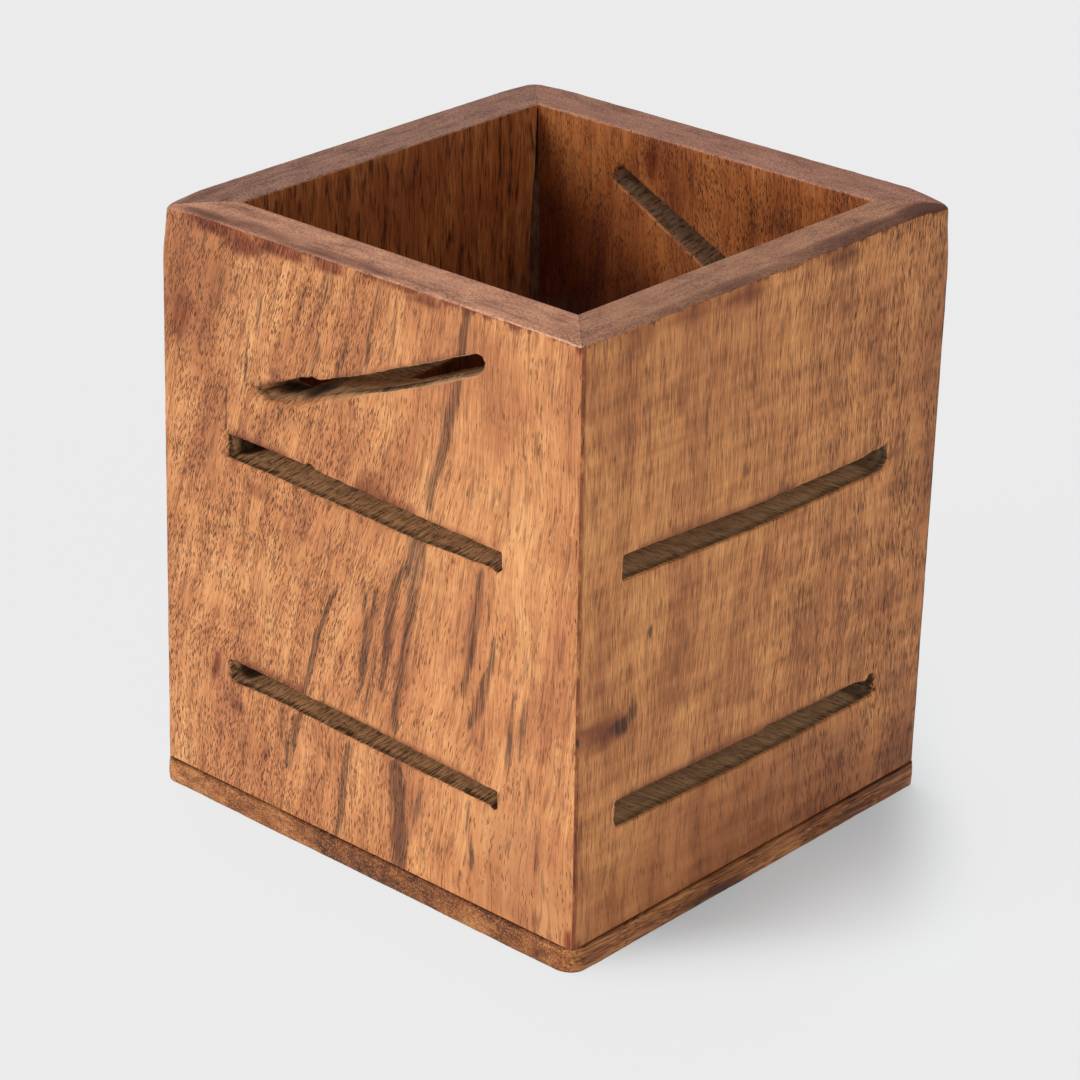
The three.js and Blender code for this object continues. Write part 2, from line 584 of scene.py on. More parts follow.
BACK_SLANTED_SLOT = SlotOutline(
    outer=(
        (-22.9, 75.4), (-7.15, 82.7), (15.0, 92.7), (16.0, 93.1), (17.4, 92.6), (17.9, 91.4),
        (17.2, 90.3), (-1.9, 81.2), (-14.0, 75.0), (-22.7, 74.4),
    ),
    inner=(
        (-21.9, 75.6), (-7.15, 83.2), (15.0, 93.2), (15.9, 93.6), (17.2, 92.9), (17.9, 91.6),
        (17.5, 90.7), (-1.9, 80.7), (-13.3, 75.0), (-21.7, 74.4),
    ),
    seed=21.9,
)
RIGHT_MIDDLE_SLOT = SlotOutline(
    outer=(
        (-32.6, 65.2), (-31.9, 65.35), (-3.4, 63.7), (22.9, 63.3), (25.4, 63.7), (27.8, 63.6),
        (29.5, 64.1), (29.5, 62.7), (29.8, 61.2), (28.9, 60.2), (27.9, 59.8), (-3.2, 59.9),
        (-31.6, 61.4), (-32.5, 61.3), (-32.8, 62.0),
    ),
    seed=31.0,
)
RIGHT_LOWER_SLOT = SlotOutline(
    outer=(
        (-33.2, 25.5), (-32.3, 25.9), (-0.6, 24.8), (1.6, 24.75), (2.2, 25.1), (4.0, 25.0),
        (25.0, 24.4), (27.5, 23.8), (28.3, 24.6), (29.5, 24.7), (30.2, 22.9), (29.2, 22.4),
        (30.1, 21.5), (29.3, 20.9), (26.9, 20.8), (-0.3, 20.6), (-31.6, 21.4), (-32.9, 21.7),
        (-33.5, 23.0),
    ),
    seed=44.5,
)


@dataclass(frozen=True)
class Streak:
    """A dark mineral streak up the grain: points of (along, up, half width), from the top down.

    It is wider than its points say by `margin`, and each end fades by `fades` past and before it.
    """

    points: tuple[Triple, ...]
    strength: float = 0.8
    softness: float = 1.2
    margin: float = 0.12
    core: float = 0.3
    fades: Spot = (1.0, 0.8)

    def share_at(self, along: np.ndarray, up: np.ndarray) -> np.ndarray:
        """Share of the streak at places on a face.

        Args:
            along: Places along the board.
            up: Heights of the places.

        Returns:
            Shares from 0 to 1.
        """
        rows = sorted((z, s, w) for s, z, w in self.points)
        heights = [row[0] for row in rows]
        centre = np.interp(up, heights, [row[1] for row in rows])
        width = np.interp(up, heights, [row[2] for row in rows]) + self.margin
        offset = np.abs(along - centre) / width
        past, before = self.fades
        ends = ease(up, heights[0] - past, heights[0] + before)
        ends = ends * (1.0 - ease(up, heights[-1] - before, heights[-1] + past))
        return (1.0 - ease(offset, self.core, 1.0 + self.softness)) * ends * self.strength


@dataclass(frozen=True)
class Smudge:
    """A soft dark patch: its middle, its half sizes along and up, and its strength.

    It ends where the square of the distance from its middle, in half sizes, is `fade`.
    """

    along: float
    up: float
    half_along: float
    half_up: float
    strength: float = 0.5
    lean: float = 0.0
    fade: float = 1.5

    def share_at(self, along: np.ndarray, up: np.ndarray) -> np.ndarray:
        """Share of the patch at places on a face.

        Args:
            along: Places along the board.
            up: Heights, or depths on the rim.

        Returns:
            Shares from 0 to 1.
        """
        rise = up - self.up
        sideways = (along - self.along - self.lean * rise) / self.half_along
        upwards = rise / self.half_up
        return (1.0 - ease(sideways**2 + upwards**2, 0.0, self.fade)) * self.strength


@dataclass(frozen=True)
class Burnish:
    """A soft reddish-dark band above a sawn edge, from one spot to another.

    It starts and ends softly, and covers the edge itself down to the heights of `below`.
    """

    start: Spot
    end: Spot
    reach: float = 1.6
    strength: float = 0.6
    core: float = 0.3
    below: Spot = (-1.2, -0.7)
    starts: Spot = (-1.0, 2.0)
    ends: Spot = (-3.0, 1.0)

    def share_at(self, along: np.ndarray, up: np.ndarray) -> np.ndarray:
        """Share of the band at places on a face.

        Args:
            along: Places along the board.
            up: Heights of the places.

        Returns:
            Shares from 0 to 1.
        """
        slope = (self.end[1] - self.start[1]) / (self.end[0] - self.start[0])
        above = up - self.start[1] - (along - self.start[0]) * slope
        begun = ease(along - self.start[0], *self.starts)
        ended = ease(along - self.end[0], *self.ends)
        band = (1.0 - ease(above, self.core, self.reach)) * ease(above, *self.below)
        return band * begun * (1.0 - ended) * self.strength


Mark = Streak | Smudge | Burnish


@dataclass(frozen=True)
class Hollow:
    """Painted shade in a slot, near-black, from one of its ends up to `stop`, at the height `up`.

    It starts at the depth `begins`, and its side slants by `slant` a millimetre of depth. `edge`
    and `onset` are how softly it ends along the slot and starts in depth.
    """

    stop: float
    up: float
    towards: float = -1.0
    begins: float = 0.3
    softness: float = 0.6
    slant: float = 0.04
    reach: float = 4.0
    strength: float = 0.88
    edge: float = 0.35
    onset: float = 0.3

    def share_at(self, along: np.ndarray, deep: np.ndarray, up: np.ndarray) -> np.ndarray:
        """Share of the painted shade at places inside a slot.

        Args:
            along: Places along the board.
            deep: Places through the board.
            up: Heights of the places.

        Returns:
            Shares from 0 to 1.
        """
        past = (along - self.stop - self.slant * deep) * self.towards
        share = ease(past, -self.edge, self.edge)
        share = share * ease(deep, self.begins - self.onset, self.begins + self.softness)
        return share * (np.abs(up - self.up) < self.reach) * self.strength


@dataclass(frozen=True)
class FaceMarks:
    """Everything that marks a board: grey mineral streaks, reddish stains, dark spots, and painted
    light and shade.

    The patches of `slanted_light_and_shade` lie in the sloping slot by along and depth; they are
    painted shade, and painted light where they are negative. The marks of `inside` are painted shade
    on the inner face, and those of `painted_slot_shades` are painted shade at the ends of slots.
    Marks of the outer face end in the depths of `outer_band`. Those of the inner face and of the rim
    begin in the distances from it that their bands give. `sway` is how far the outer marks swing
    sideways, in waves whose sizes are given along and up.
    """

    mineral: tuple[Mark, ...] = ()
    stain_and_shade: tuple[Mark, ...] = ()
    rim: tuple[Smudge, ...] = ()
    # Patches of painted shade on the inner face.
    inside: tuple[Smudge, ...] = ()
    painted_slot_shades: tuple[Hollow, ...] = ()
    # Painted light and shade in the sloping slot.
    slanted_light_and_shade: tuple[Smudge, ...] = ()
    slanted_from: Spot = (73.0, 74.0)
    outer_band: Spot = (1.5, 2.0)
    inner_band: Spot = (0.3, 0.1)
    rim_band: Spot = (3.0, 2.0)
    sway: float = 0.35
    sway_size: Spot = (5.0, 4.0)
    sway_seed: float = 2.0

    @staticmethod
    def _most(marks: tuple[Mark, ...], along: np.ndarray, up: np.ndarray) -> np.ndarray:
        """Strongest share of several marks at each place.

        Args:
            marks: The marks.
            along: Places along the board.
            up: Heights, or depths on the rim.

        Returns:
            The shares.
        """
        share = np.zeros(len(along))
        for mark in marks:
            share = np.maximum(share, mark.share_at(along, up))
        return share

    def shares_at(self, places: np.ndarray, sizes: CupSizes) -> np.ndarray:
        """Shares of mineral, stains and inner painted shade, and spots and painted slot light and
        shade.

        Args:
            places: Rows of along, deep and up.
            sizes: Sizes of the cup.

        Returns:
            Rows of the three shares.
        """
        along, deep, up = places.T
        length, rise = self.sway_size
        ripples = [ripple(s / length, z / rise, self.sway_seed) for s, z in zip(along, up)]
        swayed = along + self.sway * np.array(ripples)
        outside = 1.0 - ease(deep, *self.outer_band)
        inside = ease(deep, *(sizes.wall - gap for gap in self.inner_band))
        top = ease(up, *(sizes.height - gap for gap in self.rim_band))
        mineral = self._most(self.mineral, swayed, up) * outside
        stain_and_shade = self._most(self.stain_and_shade, swayed, up) * outside
        # The inner face's painted shade joins the stains.
        stain_and_shade = np.maximum(stain_and_shade, self._most(self.inside, along, up) * inside)
        spots = self._most(self.rim, along, deep) * top
        in_slots = (1.0 - top) * (1.0 - inside)
        # Painted shade at the slots' ends joins the dark spots.
        for hollow in self.painted_slot_shades:
            spots = np.maximum(spots, hollow.share_at(along, deep, up) * in_slots)
        # Painted light and shade in the sloping slot join the dark spots.
        in_slanted = ease(up, *self.slanted_from) * in_slots
        for patch in self.slanted_light_and_shade:
            spots = spots + patch.share_at(along, deep) * in_slanted
        return np.column_stack([mineral, stain_and_shade, spots])


@dataclass
class WallBoard:
    """One wall: a board with mitred ends, an eased rim and slots sawn through it."""

    side: Side
    sizes: CupSizes
    fit: HandFit
    start: Corner
    end: Corner
    rim: RimEdge
    slots: tuple[SlotOutline, ...]
    marks: FaceMarks
    station_step: float = 0.8
    row_step: float = 3.0
    inner_row_step: float = 3.0
    inner_ease: float = 0.4
    foot_ease: float = 0.25
    corner_reach: float = 8.0
    corner_stations: int = 13
    rim_reach: float = 9.0
    rim_wear: Wear = Wear(broad=0.3, broad_size=7.0, fine=0.25, fine_size=1.9)
    rim_seed: float = 5.3
    rim_rows: int = 13
    foot_rows: int = 4
    rim_round_steps: int = 6
    inner_round_steps: int = 3

    def _shares(self) -> np.ndarray:
        """Stations along the board, closer together where the corners are rounded.

        Returns:
            Shares of the half length, from -1 to 1.
        """
        half = self.sizes.half_length(self.side)
        flat = half - self.corner_reach
        middle = np.linspace(-flat, flat, round(2 * flat / self.station_step))
        corner = half - self.corner_reach * np.linspace(1.0, 0.0, self.corner_stations + 1)[1:]
        return np.concatenate([-corner[::-1], middle, corner]) / half

    def _sunk(self, share: float, radius: float) -> float:
        """How deep the rounded outer face lies at a station.

        Args:
            share: Station, from -1 to 1.
            radius: Rounding radius of the arris at that end.

        Returns:
            Depth below the flat face.
        """
        half = self.sizes.half_length(self.side)
        centre, ray = half - radius, abs(share)
        if ray * half <= centre:
            return 0.0
        spread = 2 * centre * (1 + ray)
        root = spread**2 - 4 * (ray**2 + 1) * (2 * centre**2 - radius**2)
        return half - (spread + math.sqrt(max(root, 0.0))) / (2 * (ray**2 + 1))

    def _rim_at(self, share: float) -> RimEdge:
        """The rim's outer edge at a station, worn unevenly between the corners.

        Args:
            share: Station, from -1 to 1.

        Returns:
            The edge there.
        """
        half = self.sizes.half_length(self.side)
        along = share * half
        corner = (self.start if share < 0 else self.end).rim
        near = float(ease(abs(along), half - self.rim_reach, half))
        seed = self.rim_seed * self.side.value
        worn = 1.0 + (1.0 - near) * self.rim_wear.at(along, seed)
        return RimEdge(
            run=(self.rim.run + near * (corner.run - self.rim.run)) * worn,
            drop=(self.rim.drop + near * (corner.drop - self.rim.drop)) * worn,
        )

    def _section(self, share: float) -> np.ndarray:
        """Closed outline of the board at a station, up the outer face and down the inner one.

        Args:
            share: Station, from -1 to 1.

        Returns:
            Rows of along, deep and up.
        """
        sizes, inner_ease = self.sizes, self.inner_ease
        height, base, wall = sizes.height, sizes.base, sizes.wall
        arris = (self.start if share < 0 else self.end).arris
        rim = self._rim_at(share)
        loop: list[Spot] = []
        rows = round((height - base) / self.row_step)
        for up in np.linspace(base + self.foot_ease, height - rim.drop, rows):
            loop.append((self._sunk(share, arris.radius_at(up, height)), up))
        face = loop[-1][0]
        for run, drop in quarter(self.rim_round_steps):
            loop.append((face + rim.run * run, height - rim.drop * drop))
        flat = np.linspace(face + rim.run, wall - inner_ease, self.rim_rows + 1)[1:]
        loop.extend((deep, height) for deep in flat)
        for drop, run in quarter(self.inner_round_steps):
            loop.append((wall - inner_ease * run, height - inner_ease * drop))
        inner_rows = round((height - base) / self.inner_row_step)
        loop.extend((wall, up) for up in np.linspace(height - inner_ease, base, inner_rows)[1:])
        foot = np.linspace(wall, loop[0][0] + self.foot_ease, self.foot_rows + 1)[1:]
        loop.extend((deep, base) for deep in foot)
        half = sizes.half_length(self.side)
        return np.array([(share * (half - deep), deep, up) for deep, up in loop])

    def build(self) -> Piece:
        """Makes the board, saws its slots and gives it its handmade shape.

        Returns:
            The finished piece, without its finish.
        """
        side, sizes = self.side, self.sizes
        sections = [self._section(share) for share in self._shares()]
        points = sizes.placed(np.concatenate(sections), side)
        board = Piece(f"{side.node}.board", points, ring_faces(len(sections), len(sections[0])))
        for number, outline in enumerate(self.slots):
            board.cut_by(outline.cutter(side, sizes, f"{side.node}.cutter_{number}"))
        points = board.points()
        places = sizes.places(points, side)
        board.keep(MARKS, self.marks.shares_at(places, sizes))
        board.settle(points, places, self.fit, crease=32.0)
        return board


@dataclass
class BaseBoard:
    """The board under the walls, with rounded corners and a softly rounded edge."""

    sizes: CupSizes
    fit: HandFit
    corner_radii: tuple[float, float, float, float] = (3.0, 1.4, 2.2, 1.5)
    under_ease: float = 0.5
    joint_ease: float = 0.2
    proud: float = 0.3
    belly: float = 0.12
    edge_steps: int = 160
    corner_steps: int = 14
    under_steps: int = 5
    belly_steps: int = 7
    joint_steps: int = 3
    wear_broad: float = 0.10
    broad_length: float = 5.0
    broad_rise: float = 2.0
    wear_fine: float = 0.05
    inner_shares: tuple[float, ...] = (0.04, 0.35, 0.7, 0.93)

    def _outline(self) -> tuple[np.ndarray, np.ndarray]:
        """Walks round the edge, from the front to the right, back and left.

        Returns:
            Points of the edge in plan, and the outward direction at each.
        """
        spots, away = [], []
        for side in Side:
            along, out = np.array(side.along)[:2], -np.array(side.inward)[:2]
            half, span = self.sizes.half_length(side), self.sizes.half_span(side)
            before, radius = self.corner_radii[side.value - 1], self.corner_radii[side.value]
            for at in np.linspace(before - half, half - radius, self.edge_steps, endpoint=False):
                spots.append(along * at + out * span)
                away.append(out)
            centre = along * (half - radius) + out * (span - radius)
            for step in range(self.corner_steps):
                turn = (step + 0.5) / self.corner_steps * math.pi / 2
                direction = out * math.cos(turn) + along * math.sin(turn)
                spots.append(centre + direction * radius)
                away.append(direction)
        return np.array(spots), np.array(away)

    def _profile(self) -> list[Spot]:
        """The edge's section from the underside up.

        Returns:
            Pairs of out and up.
        """
        under, joint = self.under_ease, self.joint_ease
        upper = self.sizes.base - joint
        profile = [(-under, 0.0)]
        for up, out in quarter(self.under_steps):
            profile.append((-under * out, under * up))
        for up in np.linspace(under, upper, self.belly_steps + 1)[1:]:
            profile.append((self.belly * math.sin((up - under) / (upper - under) * math.pi), up))
        for out, up in quarter(self.joint_steps):
            profile.append((-joint * out, self.sizes.base - joint * up))
        return profile

    def _edge(self, spots: np.ndarray, away: np.ndarray, out: float, up: float) -> np.ndarray:
        """One ring of the worn edge.

        Args:
            spots: Points of the edge in plan.
            away: Outward direction at each.
            out: How far the ring stands out.
            up: Height of the ring.

        Returns:
            Rows of x, y and z.
        """
        length, rise = self.broad_length, self.broad_rise
        broad = [ripple(x / length, y / length, up / rise) for x, y in spots]
        fine = [ripple(x, y, up) for x, y in spots]
        worn = self.wear_broad * np.array(broad) + self.wear_fine * np.array(fine)
        edge = spots + away * (out + self.proud + worn[:, None])
        return np.column_stack([edge, np.full(len(spots), up)])

    def build(self) -> Piece:
        """Makes the board as rings from the middle of its underside round to the middle of its top.

        Returns:
            The finished piece, without its finish.
        """
        spots, away = self._outline()
        low, high = np.zeros(len(spots)), np.full(len(spots), self.sizes.base)
        rings = [np.column_stack([spots * share, low]) for share in self.inner_shares]
        rings += [self._edge(spots, away, out, up) for out, up in self._profile()]
        rings += [np.column_stack([spots * share, high]) for share in self.inner_shares[::-1]]
        points = np.concatenate(rings)
        board = Piece("base_board.board", points, ring_faces(len(rings), len(spots)))
        board.settle(points, points, self.fit, crease=40.0)
        return board


@dataclass
class GlueBead:
    """The line of old glue down the inner corner of two walls, widening from a thin sliver at its
    top.

    Its width is uneven in waves, each with its strength, its size and its seed.
    """

    sizes: CupSizes
    fit: HandFit
    top: float = 99.2
    # Width of the bead's thin top, which its finish paints near-black as the shade of an open seam.
    crack_shade: float = 0.16
    widest: float = 1.15
    widens: Spot = (3.0, 24.0)
    sink: float = 0.3
    inset: float = 0.05
    shoulder: Spot = (0.62, 0.42)
    waves: tuple[Triple, Triple] = ((0.18, 3.0, 50.0), (0.10, 0.9, 60.0))
    rows: int = 90

    def _section(self, width: float) -> tuple[Spot, ...]:
        """Outline of the bead at one height, round the corner that it fills.

        Args:
            width: Width of the bead on each wall.

        Returns:
            Pairs of x and y from the corner.
        """
        sink, inset = self.sink, self.inset
        far, near = (share * width for share in self.shoulder)
        return (
            (-sink, sink), (width, sink), (width, -inset), (far, -near),
            (near, -far), (inset, -width), (-sink, -width),
        )

    def build(self) -> Piece:
        """Makes the bead in the inner corner of the left and back walls.

        Returns:
            The finished piece, without its finish.
        """
        corner_x = self.sizes.wall - self.sizes.width / 2
        corner_y = self.sizes.depth / 2 - self.sizes.wall
        points = []
        for up in np.linspace(self.sizes.base, self.top, self.rows):
            swell = float(ease(self.top - up, *self.widens))
            uneven = 1.0
            for strength, size, seed in self.waves:
                uneven += strength * ripple(up / size, seed)
            ring = self._section((self.crack_shade + (self.widest - self.crack_shade) * swell) * uneven)
            points.extend((corner_x + x, corner_y + y, up) for x, y in ring)
        places = np.array(points)
        bead = Piece("left_wall.glue", places, ring_faces(self.rows, len(ring)))
        bead.settle(places, places, self.fit, crease=50.0)
        return bead


class Field:
    """A number that varies over a surface, with the arithmetic of numbers."""

    def __init__(self, bench: "Bench", socket: bpy.types.NodeSocket) -> None:
        """Keeps the bench that holds the nodes and the socket that gives the number."""
        self.bench = bench
        self.socket = socket

    def __add__(self, other: "Field | float") -> "Field":
        """Sum with another number."""
        return self.bench.maths("ADD", self, other)

    def __sub__(self, other: "Field | float") -> "Field":
        """Difference from another number."""
        return self.bench.maths("SUBTRACT", self, other)

    def __rsub__(self, other: float) -> "Field":
        """Plain number less this one."""
        return self.bench.maths("SUBTRACT", other, self)

    def __mul__(self, other: "Field | float") -> "Field":
        """Product with another number."""
        return self.bench.maths("MULTIPLY", self, other)

    def __truediv__(self, other: "Field | float") -> "Field":
        """Quotient by another number."""
        return self.bench.maths("DIVIDE", self, other)

    def __rtruediv__(self, other: float) -> "Field":
        """Plain number over this one."""
        return self.bench.maths("DIVIDE", other, self)

    def __abs__(self) -> "Field":
        """Size of the number without its sign."""
        return self.bench.maths("ABSOLUTE", self)

    def __neg__(self) -> "Field":
        """The number with its sign turned."""
        return self * -1.0

    __radd__ = __add__
    __rmul__ = __mul__

    def most(self, other: "Field | float") -> "Field":
        """The larger of two numbers."""
        return self.bench.maths("MAXIMUM", self, other)

    def least(self, other: "Field | float") -> "Field":
        """The smaller of two numbers."""
        return self.bench.maths("MINIMUM", self, other)

    def rising(self, low: float, high: float) -> "Field":
        """Smooth share that follows the number.

        Args:
            low: Number that gives 0.
            high: Higher number that gives 1.

        Returns:
            The share.
        """
        made = self.bench.node(
            "ShaderNodeMapRange",
            {"interpolation_type": "SMOOTHSTEP"},
            {"Value": self, "From Min": low, "From Max": high},
        )
        return Field(self.bench, made.outputs["Result"])

    def falling(self, low: float, high: float) -> "Field":
        """Smooth share from 1 at one number to 0 at a higher one."""
        return 1.0 - self.rising(low, high)

    def between(self, start: float, full: float, fading: float, end: float) -> "Field":
        """Smooth share that rises over one stretch and falls over a later one.

        Args:
            start: Number up to which it is 0.
            full: Number from which it is 1.
            fading: Number up to which it stays 1.
            end: Number from which it is 0 again.

        Returns:
            The share.
        """
        return self.rising(start, full) * self.falling(fading, end)


class Bench:
    """Lays out the nodes of one material."""

    def __init__(self, name: str) -> None:
        """Starts a material with an empty node tree.

        Args:
            name: Name of the material.
        """
        self.material = bpy.data.materials.new(name)
        self.material.use_nodes = True
        self.tree = self.material.node_tree
        self.tree.nodes.clear()

    def node(
        self,
        kind: str,
        settings: dict[str, Any] | None = None,
        inputs: dict[Any, Any] | None = None,
    ) -> bpy.types.Node:
        """Adds a node.

        Args:
            kind: Type of the node.
            settings: Its settings, with `stops` for a ramp's colours.
            inputs: Values or links of its sockets, by name or number.

        Returns:
            The node.
        """
        made = self.tree.nodes.new(kind)
        for name, value in (settings or {}).items():
            if name == "stops":
                self._set_stops(made, value)
            else:
                setattr(made, name, value)
        for key, value in (inputs or {}).items():
            self._feed(made.inputs[key], value)
        return made

    def _feed(self, socket: bpy.types.NodeSocket, value: Any) -> None:
        """Links a socket or sets its value.

        Args:
            socket: The socket.
            value: A varying number, another socket, a colour or a plain value.
        """
        if isinstance(value, Field):
            value = value.socket
        if isinstance(value, bpy.types.NodeSocket):
            self.tree.links.new(value, socket)
        elif isinstance(value, tuple) and socket.type == "RGBA":
            socket.default_value = (*value[:3], 1.0)
        else:
            socket.default_value = value

    @staticmethod
    def _set_stops(made: bpy.types.Node, stops: list[tuple[float, Colour]]) -> None:
        """Gives a ramp its stops.

        Args:
            made: Node of the ramp.
            stops: Positions and colours.
        """
        ramp = made.color_ramp
        while len(ramp.elements) < len(stops):
            ramp.elements.new(1.0)
        for element, (position, colour) in zip(ramp.elements, stops):
            element.position = position
            element.color = (*colour, 1.0)

    def maths(self, operation: str, *values: Any) -> Field:
        """Adds one Math node on its values and gives its number."""
        made = self.node("ShaderNodeMath", {"operation": operation}, dict(enumerate(values)))
        return Field(self, made.outputs[0])

    def point(self, x: Any, y: Any, z: Any) -> bpy.types.NodeSocket:
        """A vector from three numbers."""
        return self.node("ShaderNodeCombineXYZ", None, {0: x, 1: y, 2: z}).outputs[0]

    def parts(self, vector: bpy.types.NodeSocket) -> tuple[Field, Field, Field]:
        """The three numbers of a vector."""
        made = self.node("ShaderNodeSeparateXYZ", None, {0: vector})
        return tuple(Field(self, made.outputs[number]) for number in range(3))

    def cloud(self, x: Any, y: Any, z: Any, detail: float = 2.0, rough: float = 0.5) -> Field:
        """Smooth noise from 0 to 1 at a place, already scaled to the noise's own size.

        Args:
            x: First number of the place.
            y: Second number of the place.
            z: Third number of the place.
            detail: Number of finer layers.
            rough: Strength of the finer layers.

        Returns:
            The noise.
        """
        place = {"Vector": self.point(x, y, z), "Scale": 1.0}
        layers = {"Detail": detail, "Roughness": rough}
        return Field(self, self.node("ShaderNodeTexNoise", None, place | layers).outputs[0])

    def cells(self, x: Any, y: Any) -> tuple[Field, Field]:
        """Scattered flat cells.

        Args:
            x: First number of the place, already scaled to one cell a unit.
            y: Second number of the place, scaled too.

        Returns:
            Distance to the nearest cell's point, and a random number for that cell.
        """
        inputs = {"Vector": self.point(x, y, 0.0), "Scale": 1.0}
        made = self.node("ShaderNodeTexVoronoi", {"voronoi_dimensions": "2D"}, inputs)
        chance = self.parts(made.outputs["Color"])[0]
        return Field(self, made.outputs["Distance"]), chance

    def blend(
        self, share: Any, first: Any, second: Any, mode: str = "MIX"
    ) -> bpy.types.NodeSocket:
        """Mixes two colours.

        Args:
            share: Share of the second colour.
            first: First colour.
            second: Second colour.
            mode: Blend mode.

        Returns:
            The mixed colour.
        """
        settings = {"data_type": "RGBA", "blend_type": mode}
        return self.node("ShaderNodeMix", settings, {0: share, 6: first, 7: second}).outputs[2]

    def darkened(self, share: Any, colour: bpy.types.NodeSocket, by: Colour) -> bpy.types.NodeSocket:
        """A colour multiplied by another one, to a share."""
        return self.blend(share, colour, by, "MULTIPLY")

    def kept(self, name: str) -> bpy.types.NodeSocket:
        """Three numbers stored with the mesh under a name."""
        return self.node("ShaderNodeAttribute", {"attribute_name": name}).outputs["Vector"]

    def ramp(self, value: Field, stops: list[tuple[float, Colour]]) -> bpy.types.NodeSocket:
        """A colour looked up along a ramp."""
        return self.node("ShaderNodeValToRGB", {"stops": stops}, {0: value}).outputs["Color"]

    def relief(self, height: Field, strength: float, metres: float) -> bpy.types.NodeSocket:
        """Turns a relief into a bumped normal.

        Args:
            height: Height of the relief, from 0 to 1.
            strength: Strength of the bumps.
            metres: Height that 1 stands for.

        Returns:
            The normal.
        """
        inputs = {"Strength": strength, "Distance": metres, "Height": height}
        return self.node("ShaderNodeBump", None, inputs).outputs[0]

    def surface(self, sockets: dict[str, Any]) -> bpy.types.Material:
        """Ends the material in one principled shader.

        Args:
            sockets: Values or links of the shader, by name.

        Returns:
            The material.
        """
        shader = self.node("ShaderNodeBsdfPrincipled", None, sockets)
        self.node("ShaderNodeOutputMaterial", None, {"Surface": shader.outputs[0]})
        return self.material


WOOD_SHEEN: dict[str, float] = {"Specular IOR Level": 0.32, "IOR": 1.46}
WOOD_RELIEF = 0.00012
GLUE_RELIEF = 0.0002


def swung(middle: float, *swings: tuple[Field, float]) -> Field:
    """A number that patterns swing about its middle.

    Args:
        middle: The number where every pattern is at 0.5.
        swings: Patterns from 0 to 1, each with its weight.

    Returns:
        The varying number.
    """
    value: Field | float = middle
    for pattern, weight in swings:
        value = value + (pattern - 0.5) * weight
    return value


@dataclass(frozen=True)
class WoodTones:
    """The colours of one oiled board, as linear values; the last few darken what is under them."""

    dark: Colour = (0.23, 0.072, 0.026)
    middle: Colour = (0.62, 0.240, 0.086)
    light: Colour = (0.90, 0.45, 0.18)
    rosy: Colour = (0.50, 0.172, 0.070)
    # Painted highlight on the rim's arris.
    edge: Colour = (0.86, 0.52, 0.31)
    rim_light: Colour = (0.60, 0.285, 0.168)
    rim_dark: Colour = (0.18, 0.07, 0.045)
    cheek_light: Colour = (0.74, 0.40, 0.185)
    cheek_dark: Colour = (0.085, 0.038, 0.016)
    # Near-black painted shade, for the slots' dark ends, the dark patches of the sloping slot and the
    # cracks of torn wood.
    hollow: Colour = (0.014, 0.008, 0.005)
    # Painted light on the flared sill of a slot.
    lip: Colour = (0.60, 0.36, 0.19)
    pore: Colour = (0.17, 0.13, 0.13)
    mineral: Colour = (0.18, 0.175, 0.22)
    # Reddish dark for stains, soil and joints, and for the inner face's painted shade.
    stain_and_shade: Colour = (0.27, 0.085, 0.06)
    rim_stain: Colour = (0.27, 0.20, 0.21)
    # Painted shade on the inner face, partly the inner wood's own darker tone.
    inside: Colour = (0.58, 0.44, 0.30)
    # Painted shade that deepens towards the cup's floor.
    gloom: Colour = (0.20, 0.14, 0.10)


@dataclass(frozen=True)
class WallFinish:
    """Oiled wood on a wall, with its own grain run and marks.

    The grain leans by `lean` up to the first spot of `upright`, and less and less up to the second.
    Pores are dense at the first spot of `porous` and sparse at the second. `edge_highlight` and
    `light_and_tone_side` are bands along the board, and `lip_over` is one up it. They give where a
    painted highlight runs on the rim's arris, where the board turns paler or darker towards one end,
    partly as painted light and partly as its own tone, and from where painted light lies on the
    flared sill of a slot.
    """

    side: Side
    sizes: CupSizes
    tones: WoodTones = WoodTones()
    lean: float = 0.27
    upright: Spot = (4.0, 36.0)
    upright_share: float = 0.8
    seed: float = 0.0
    porous: Spot = (-18.0, 20.0)
    pore_size: Spot = (0.24, 1.8)
    pore_share: Spot = (1.0, 0.12)
    lined: float = 0.52
    arris_line: float = 0.0
    tint: float = 0.5
    striped: float = 0.8
    fibrous: float = 1.35
    stranded: float = 0.65
    cross_figure: float = 0.25
    mottle: float = 0.85
    rim_soil: float = 2.0
    torn: float = 1.0
    # Band along the board where a painted highlight runs on the rim's arris.
    edge_highlight: Spot = (20.0, 34.0)
    # Band up the board from where painted light lies on a slot's flared sill.
    lip_over: Spot = NOWHERE
    # Band along the board over which it turns paler or darker towards one end: partly painted light
    # falling off along it, partly its own tone.
    light_and_tone_side: Spot = (-20.0, 34.0)
    light_and_tone_gain: float = 0.05

    def build(self) -> bpy.types.Material:
        """Lays out the finish and gives its material."""
        return WallShader(self).build()


